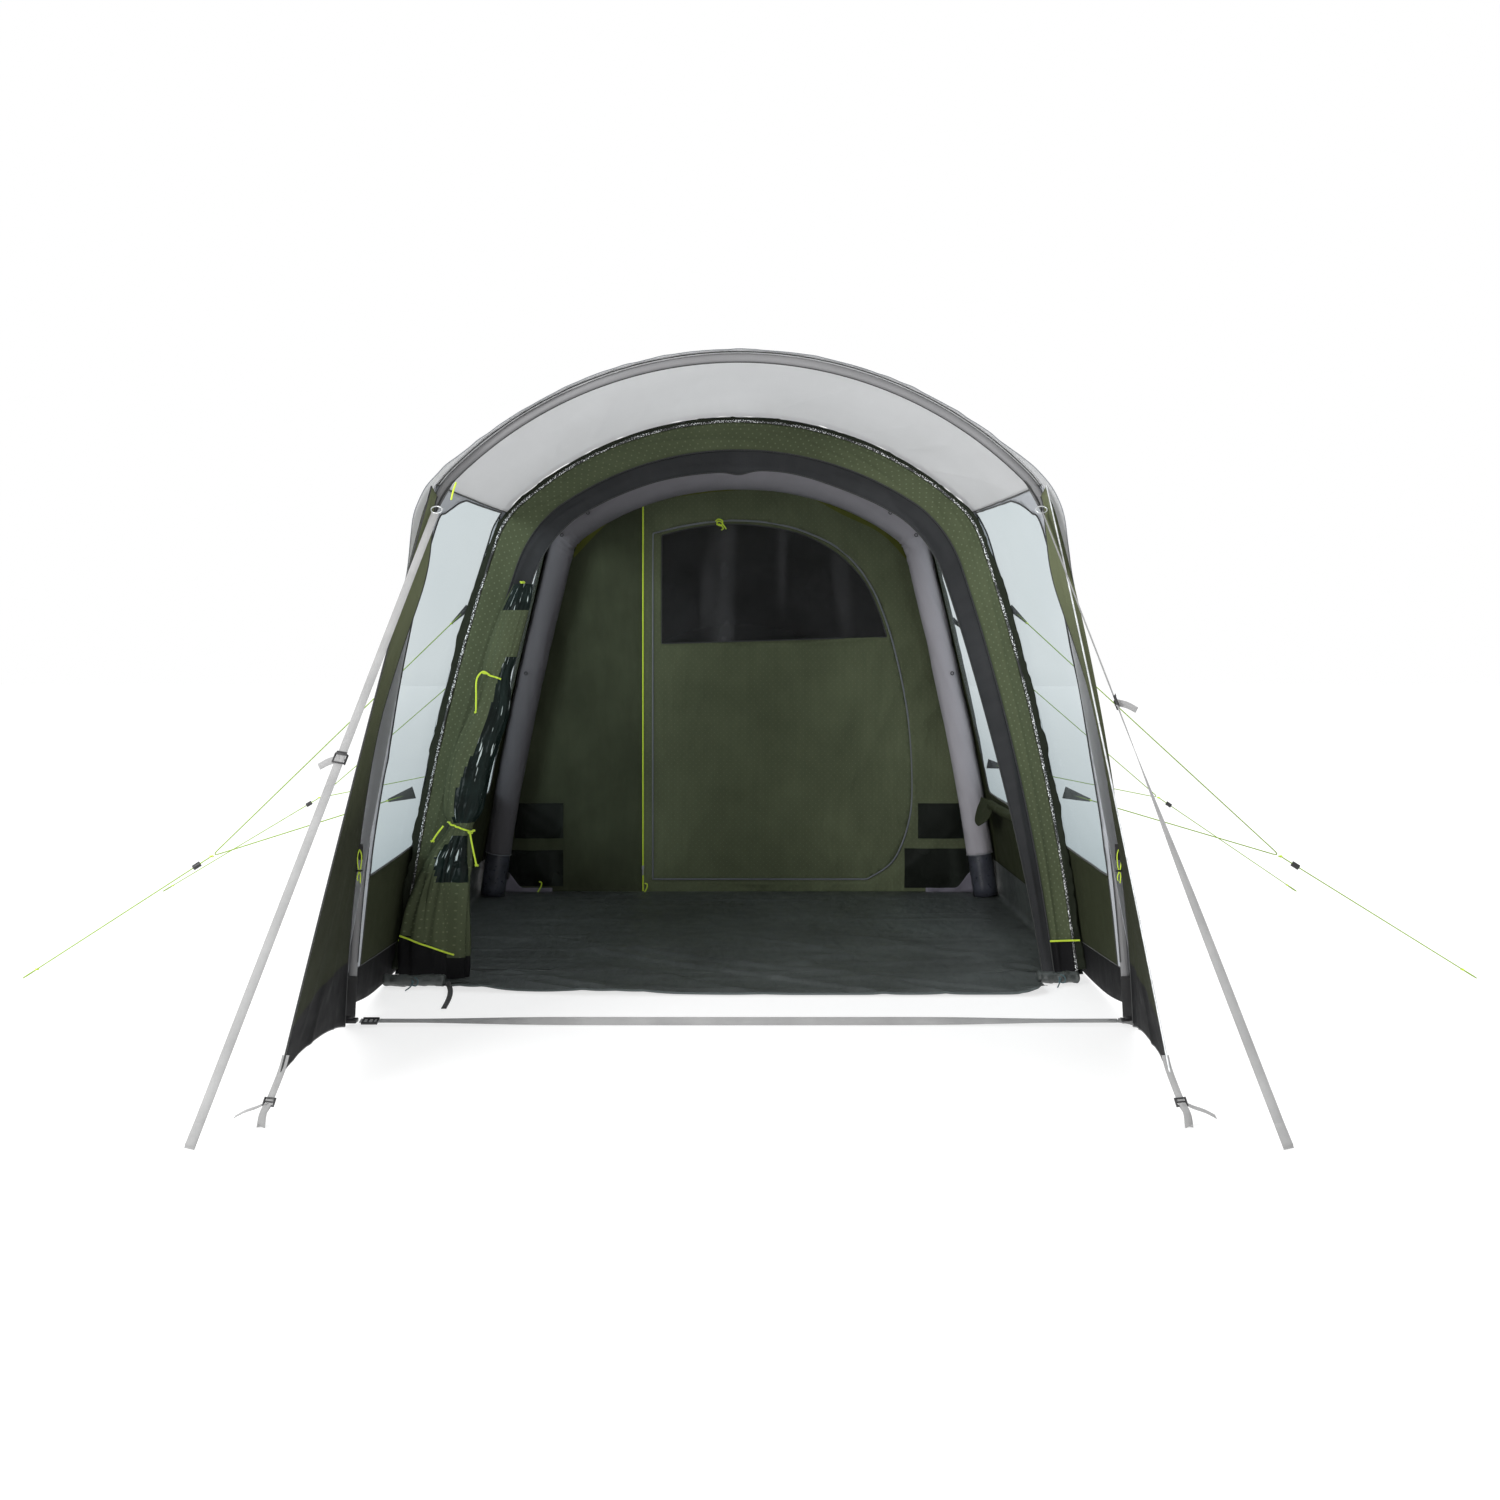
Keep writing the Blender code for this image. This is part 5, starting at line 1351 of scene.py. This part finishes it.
def foot_details():
    """Rolled mud flaps at the door's feet, their tie cords, and the strap under the gathered door."""
    for side_name, start, end, y in (("left", -1.215, -1.004, -1.335), ("right", 1.030, 1.172, -1.290)):
        along, angle = np.linspace(0, 1, 46)[:, None], circle(26)[None, :]
        folds = crease(np.cos(angle) * 2 + along * 4, np.sin(angle) * 1.5, 102, 4)
        swell = 0.023 * np.minimum(1, 8 * along * (1 - along) + 0.75)
        radius = swell * (1 + 0.16 * noise(along * 9, np.cos(angle) * 2, 101) - 0.16 * folds)
        x = start + (end - start) * along + 0 * angle
        roll = np.stack([x, y + radius * np.cos(angle), 0.0245 + radius * np.sin(angle) * 0.9], -1)
        roll = grid_piece(f"mud_flap_roll_{side_name}", roll, ["ground"], closed=True, capped=True,
                          thickness=0.0)
        tie = np.array((SIDES[side_name] * 1.105, y - 0.020, 0.030))
        for k, points in enumerate((
            [(0, 0.004, 0.008), (0.014, -0.006, 0.000), (0.010, -0.012, -0.016), (-0.004, -0.010, -0.014),
             (-0.006, -0.004, 0.002)],
            [(0, -0.004, -0.002), (-0.008, -0.016, -0.018), (-0.020, -0.040, -0.026)],
        )):
            line_piece(f"flap_tie_{side_name}_{k}", smooth(points) + tie, 0.0022, "teal")
        knot(f"flap_tie_knot_{side_name}", tie + np.array((-0.006, -0.014, -0.014)), 0.010, "teal")
    strap = smooth([(-0.985, -1.385, 0.030), (-0.968, -1.420, 0.012), (-0.955, -1.50, 0.0045),
                    (-0.945, -1.620, 0.0030)])
    ribbon("door_foot_strap", strap, 0.018, 0.0016, (1, 0.1, 0), "black_webbing")


# ---------------------------------------------------------------------------
# Floor and inner tent


def wall_half(y, height):
    """The half width between the fabric walls at a station and height."""
    pair = (FRONT_HOOP, MIDDLE_HOOP) if y < MIDDLE_TUBE_Y else (MIDDLE_HOOP, REAR_HOOP)
    share = min(1, max(0, (y - pair[0].y) / (pair[1].y - pair[0].y)))
    near, far = (hoop.leg(height / hoop.shoulder.y).x for hoop in pair)
    return near + (far - near) * share


def groundsheet():
    """A dark floor whose sides turn up inside the walls; in front it is a flap that lies flat."""
    flap_end, flat_share = -1.163, 0.885
    ys = np.concatenate([np.linspace(SHEET_FRONT_Y, -1.165, 24), [-1.1602], np.linspace(-1.150, 0.546, 112)])
    share = np.linspace(-1, 1, 150)
    turned = np.clip((np.abs(share) - flat_share) / (1 - flat_share), 0, 1)
    rows = []
    for y in ys:
        if y < flap_end:
            half, up = 1.024 - 0.045 * float(fade(SHEET_FRONT_Y + 0.05 - y, 0.0, 0.05)) ** 2, 0.0
        else:
            half, up = wall_half(y, 0.0) - 0.013, 0.17 * float(fade(y, -1.165, -1.10))
        x = np.minimum(np.abs(share) / flat_share, 1) * half
        if up:
            x = x - turned * (wall_half(y, 0.0) - wall_half(y, up))
        x = x * np.where((share > 0) & (y < flap_end), 1.018, 1.0)
        rows.append(np.stack([x * np.sign(share), y + 0 * share, 0.0034 + up * turned], -1))
    points = np.array(rows)
    x, y = points[..., 0], points[..., 1]
    bow = np.interp(x, (-1.02, -0.97, -0.55, 0.0, 0.95, 1.02), (0.70, 0.76, 0.93, 1.0, 1.0, 0.96))
    y = np.where(y < flap_end, flap_end + (y - flap_end) * bow, y)
    points[..., 1] = y
    open_floor = fade(1.14 - np.abs(x), 0.0, 0.10) * fade(0.52 - y, 0.0, 0.05)
    ripple = 0.0040 * (0.5 + 0.5 * noise(x / 0.30, y / 0.22, 111))
    ripple = ripple + 0.0055 * crease(x / 0.9, y / 0.12, 112, 5)
    radial = 0.014 * crease((x + 1.6 * y) / 0.25, (y - x) / 0.8, 113, 6) * fade(-y, 0.2, 1.0)
    edge = fade(y, SHEET_FRONT_Y, SHEET_FRONT_Y + 0.03)
    corner = 0.020 * fade(x, 0.93, 1.02) * fade(-y, 1.33, 1.44)
    points[..., 2] += open_floor * (ripple + radial) * (0.3 + 0.7 * edge) + corner
    grid_piece("groundsheet_cloth", points, ["ground"], (2.75, 1.92),
               away=(0, -0.4, 3.0), thickness=0.0, stands_for="groundsheet")
    line_piece("groundsheet_hem", points[0] + np.array((0, 0.002, 0.0035)), 0.0032, "ground_hem")


INNER_FRONT = MIDDLE_HOOP.moved(INNER_WALL_Y + 0.002, 0.078)
INNER_REAR = REAR_HOOP.moved(INNER_REAR_Y, 0.090)
INNER_DOOR_EDGE = -0.42
INNER_DOOR = ((0.62, 0.06), (0.75, 0.155), (0.828, 0.36), (0.838, 0.60), (0.812, 0.90), (0.736, 1.24),
              (0.635, 1.49), (0.50, 1.652), (0.33, 1.742), (0.15, 1.790), (-0.05, 1.802), (-0.24, 1.780),
              (INNER_DOOR_EDGE, 1.740))
INNER_HEAD_SEAM = ((-0.80, 1.62), (-0.62, 1.80), (-0.45, 1.886), (-0.05, 1.945), (0.25, 1.945), (0.51, 1.825),
                   (0.69, 1.735), (0.82, 1.60))
MESH_WINDOW = ((0.716, 1.236), (0.676, 1.360), (0.606, 1.505), (0.482, 1.634), (0.315, 1.728), (0.13, 1.771),
               (-0.05, 1.783), (-0.22, 1.764), (-0.374, 1.728))


def inner_tent():
    """The front wall with its door, zip, pockets and pulls, and the sleeping tent behind it."""
    body_of_inner_tent()
    outline = INNER_FRONT.points(np.linspace(0.0011, 0.9989, 180))[:, [0, 2]]
    right_edge = outline[outline[:, 0] > 0][::-1]
    door = np.array([(INNER_DOOR_EDGE, 0.06), *smooth(INNER_DOOR, 7)])

    def wall_at(flat, lift=0.0):
        x, z = flat[:, 0], flat[:, 1]
        reach = np.interp(z, right_edge[:, 1], right_edge[:, 0])
        loose = fade(reach - np.abs(x), 0.0, 0.12) * fade(z, 0.0, 0.10) * fade(np.abs(x - ZIP_X), 0.012, 0.08)
        drape = 0.008 * noise(x / 0.22, z / 0.7, 121) + 0.014 * crease((x + z * 0.35) / 0.17, z / 1.1, 122, 4)
        drag = 0.012 * crease((z - x * 0.8) / 0.22, (z + x) / 1.0, 123, 5) * fade(np.abs(x), 0.3, 0.9)
        return np.stack([x, INNER_WALL_Y - loose * (drape + drag) - lift, z], -1)

    head = smooth(INNER_HEAD_SEAM, 5)
    seam = dense([(ZIP_X, 0.006), (ZIP_X, 1.872)], 0.03)
    cut = patch(outline, [closed_line(door), seam, head], 0.026)
    x, z = cut[2].T
    # Kind 1, left of the zip, takes the darker copy of the inner cloth as painted shade.
    kinds = np.where(z > np.interp(x, head[:, 0], head[:, 1], left=9, right=9), 2, np.where(x < ZIP_X, 1, 0))
    kinds = np.where(inside(cut[2], door), -1, kinds)
    # Kind 2, above the head seam, takes the yellower cloth as painted light shining through the top.
    patch_piece("inner_front_cloth", cut, wall_at, ["inner", "inner_painted_shade", "olive"], kinds,
                away=(0, 3, 0.9), stands_for="inner_front_wall")
    zip_line = np.array([(ZIP_X, z) for z in np.linspace(0.006, 1.885, 60)])
    line_piece("inner_zip_piping", wall_at(zip_line, 0.0035), 0.0040, "lime")
    inner_door_pieces(door)
    pockets(wall_at)
    for k, (x, z) in enumerate(((-0.965, 0.020), (-0.455, 0.012))):
        pull = smooth([(0, -0.020, 0.034), (0.012, -0.026, 0.030), (0.010, -0.032, 0.012),
                       (-0.004, -0.042, -0.012)], 5)
        line_piece(f"inner_tent_pull_{k}", pull + np.array((x, INNER_WALL_Y, z)), 0.0030, "lime")


def body_of_inner_tent():
    """The sleeping tent's skin and floor, and its sloping rear wall."""
    places = np.linspace(0.0035, 0.9965, 150)
    rows = []
    for u in np.linspace(0, 1, 60):
        ring = INNER_FRONT.points(places) * (1 - u) + INNER_REAR.points(places) * u
        loose = 4 * u * (1 - u)
        drape = 0.012 * noise(places * 18, u * 5, 131) + 0.012 * crease(places * 12 + u, u * 6, 132, 4)
        ring = ring + INNER_FRONT.inwards(places) * (loose * drape)[:, None]
        floor = np.linspace(ring[-1], ring[0], 22)[1:-1]
        floor[:, 2] += 0.003 * loose * (1 + noise(floor[:, 0] / 0.3, u * 6, 133))
        rows.append(np.concatenate([ring, floor]))
    grid_piece("inner_tent_cloth", rows, ["inner"], (6.9, 2.0),
               closed=True, away=(0, 1.5, 0.8), stands_for="inner_tent_body")

    def at(flat, lift=0.0):
        x, z = flat[:, 0], flat[:, 1]
        slack = 0.008 * (0.5 + 0.5 * noise(x / 0.3, z / 0.4, 134)) * fade(z, 0, 0.2)
        return np.stack([x, INNER_REAR_Y - 0.001 + REAR_LEAN * z - slack, z], -1)

    cut = patch(rows[-1][:, [0, 2]], [], 0.05)
    patch_piece("inner_rear_cloth", cut, at, ["inner"], np.zeros(len(cut[1]), int),
                away=(0, 0, 0.8))


def inner_door_pieces(door):
    """The D door: piped cloth with a mesh window near its top, which swings at its straight edge."""
    leaf = door.mean(0) + (door - door.mean(0)) * 0.997
    window = np.array([(-0.374, 1.204), *smooth(MESH_WINDOW, 5)])
    ring = closed_line(window)

    def at(flat, lift=0.0):
        x, z = flat[:, 0], flat[:, 1]
        loose = fade(x, INNER_DOOR_EDGE, -0.25) * fade(0.83 - x, 0.0, 0.12) * fade(z, 0.06, 0.18)
        drape = 0.009 * noise(x / 0.30, z / 0.5, 141) + 0.010 * crease((x - z * 0.45) / 0.24, z / 0.9, 142, 5)
        corner = 0.012 * crease((x + z) / 0.14, (x - z) / 0.9, 143, 5) * fade(0.45 - z, 0.0, 0.3)
        return np.stack([x, INNER_WALL_Y - loose * (drape + corner) - lift, z], -1)

    cut = patch(leaf, [ring], 0.024)
    meshed = inside(cut[2], window)
    patch_piece("inner_door_cloth", cut, at, ["inner"], np.where(meshed, -1, 0),
                CLOTH, (0, 3, 0.9), "inner_door", "inner_door")
    patch_piece("inner_door_net", cut, at, ["mesh"], np.where(meshed, 0, -1),
                0.0, (0, 3, 0.9), "inner_door", "inner_door_mesh")
    for name, edge, lift, radius, look in (("inner_door", closed_line(leaf), 0.003, 0.0042, "grey_piping"),
                                           ("inner_window", ring, 0.002, 0.0028, "piping")):
        points = at(dense(edge, 0.015), lift)
        line_piece(f"{name}_piping", points, radius, look, "inner_door", closed=True)
    top = np.array((-0.092, INNER_WALL_Y - 0.010, 1.783))
    for k, points in enumerate((
        [(-0.022, 0, 0.012), (-0.008, -0.006, 0.022), (0.012, -0.008, 0.014), (0.008, -0.009, -0.008),
         (-0.010, -0.007, -0.006), (-0.014, -0.005, 0.008), (0.004, -0.006, 0.010), (0.030, -0.009, -0.026)],
        [(-0.016, -0.002, -0.004), (0.000, -0.010, -0.004), (0.016, -0.008, -0.022), (0.006, -0.008, -0.030)],
    )):
        line_piece(f"inner_door_tie_{k}", smooth(points) + top, 0.0030, "lime", "inner_door")


def pockets(wall_at):
    """Dark net pockets low on the inner wall, and the pale edge of its floor beside the tubes' feet."""
    places = {
        "left_upper": (-1.085, -0.850, 0.262, 0.432), "left_lower": (-1.130, -0.850, 0.030, 0.205),
        "right_upper": (0.865, 1.085, 0.262, 0.432), "right_lower": (0.800, 1.130, 0.022, 0.214),
    }
    for name, (x0, x1, z0, z1) in places.items():
        x, z = np.meshgrid(np.linspace(x0, x1, 34), np.linspace(z0, z1, 26))
        across, up = (x - x0) / (x1 - x0), (z - z0) / (z1 - z0)
        bag = 0.005 + 0.010 * np.sin(math.pi * across) * np.sin(math.pi * up)
        bag += 0.006 * crease((x + z * 1.5) / 0.06, (z - x) / 0.3, 151, 3) * fade(up, 0.0, 0.3)
        points = wall_at(np.stack([x.ravel(), z.ravel()], -1), bag.ravel()).reshape(*x.shape, 3)
        grid_piece(f"inner_pocket_{name}", points, ["pocket"], (x1 - x0, z1 - z0),
                   away=(0, 3, 0.5), thickness=0.0)
    for side_name, side in SIDES.items():
        x, t = np.linspace(0.90, 1.135, 24)[None, :], np.linspace(0, 1, 7)[:, None]
        y = INNER_WALL_Y - 0.026 - 0.006 * t + 0.004 * noise(x / 0.05, t, 152)
        z = 0.005 + (0.021 + 0.085 * fade(x, 1.04, 1.13)) * t
        points = np.stack([x * side + 0 * t, y, z], -1)
        grid_piece(f"inner_floor_edge_{side_name}", points, ["lilac"], (0.24, 0.11),
                   away=(0, 3, 0.5))


def living_curtains():
    """Window curtains rolled down along the sills; the right one's rear end hangs open like a leaf."""
    half_at = np.vectorize(wall_half)
    for side_name, side, end in (("left", -1, -0.20), ("right", 1, 0.10)):
        y, angle = np.linspace(-0.98, end, 90)[:, None], circle(28)[None, :]
        folds = crease(y / 0.2 + np.cos(angle), np.sin(angle) * 1.4, 162, 4)
        radius = 0.019 * (1 + 0.14 * noise(y / 0.07, np.cos(angle) * 1.6, 161) - 0.12 * folds)
        radius = radius * np.minimum(1, (end + 0.04 - y) / 0.06)
        x = half_at(y, 0.47) - 0.028 - radius.max(1, keepdims=True) + radius * np.cos(angle)
        points = np.stack([x * side, y + 0 * angle, 0.470 + radius * np.sin(angle) * 1.1], -1)
        grid_piece(f"living_curtain_{side_name}", points, ["green_plain"], closed=True, capped=True,
                             thickness=0.0)
    down, along = np.meshgrid(np.linspace(0, 1, 26), np.linspace(0, 1, 30), indexing="ij")
    drop = down * np.sin(math.pi * np.clip(along * 0.85 + 0.10, 0, 1)) ** 0.5
    y, z = -0.02 + 0.30 * along, 0.487 - 0.115 * drop
    x = half_at(y, z) - 0.045 - 0.075 * drop - 0.006 * noise(along * 4, down * 2, 163)
    grid_piece("living_curtain_leaf", np.stack([x, y, z], -1), ["green_plain"], (0.31, 0.145),
               away=(0, 0.1, 0.5))


make_camera()
make_studio()
for guy_name, guy_points in GUY_SETS.items():
    guy_set(guy_name, *(Vector(point) for point in guy_points))
for strap_side, strap_sign in SIDES.items():
    storm_strap(strap_side, strap_sign)
threshold()
air_tube("front", FRONT_HOOP, FRONT_TUBE_Y, 171, (0.30, 0.42, 0.58, 0.70))
air_tube("middle", MIDDLE_HOOP, MIDDLE_TUBE_Y, 172, (0.700, 0.742, 0.847, 0.300, 0.258, 0.153))
air_tube("rear", REAR_HOOP, REAR_TUBE_Y, 173, (0.35, 0.65))
pole_sleeve()
porch_rim()
roof("porch", PORCH, 60)
roof("living", LIVING, 100)
roof("bedroom", BEDROOM, 140)
for wall_side, wall_sign in SIDES.items():
    porch_wall(wall_side, wall_sign)
    long_wall("living", LIVING, wall_side, wall_sign, LIVING_HEIGHT, LIVING_WINDOW)
    long_wall("bedroom", BEDROOM, wall_side, wall_sign, BEDROOM_HEIGHT, None)
    wing_cloth(wall_side, wall_sign)
rear_wall_cloth()
door_wall()
door_band()
rolled_door()
foot_details()
groundsheet()
inner_tent()
living_curtains()
show_node("zip_slider", "metal")
show_node("zip_pull", "metal")
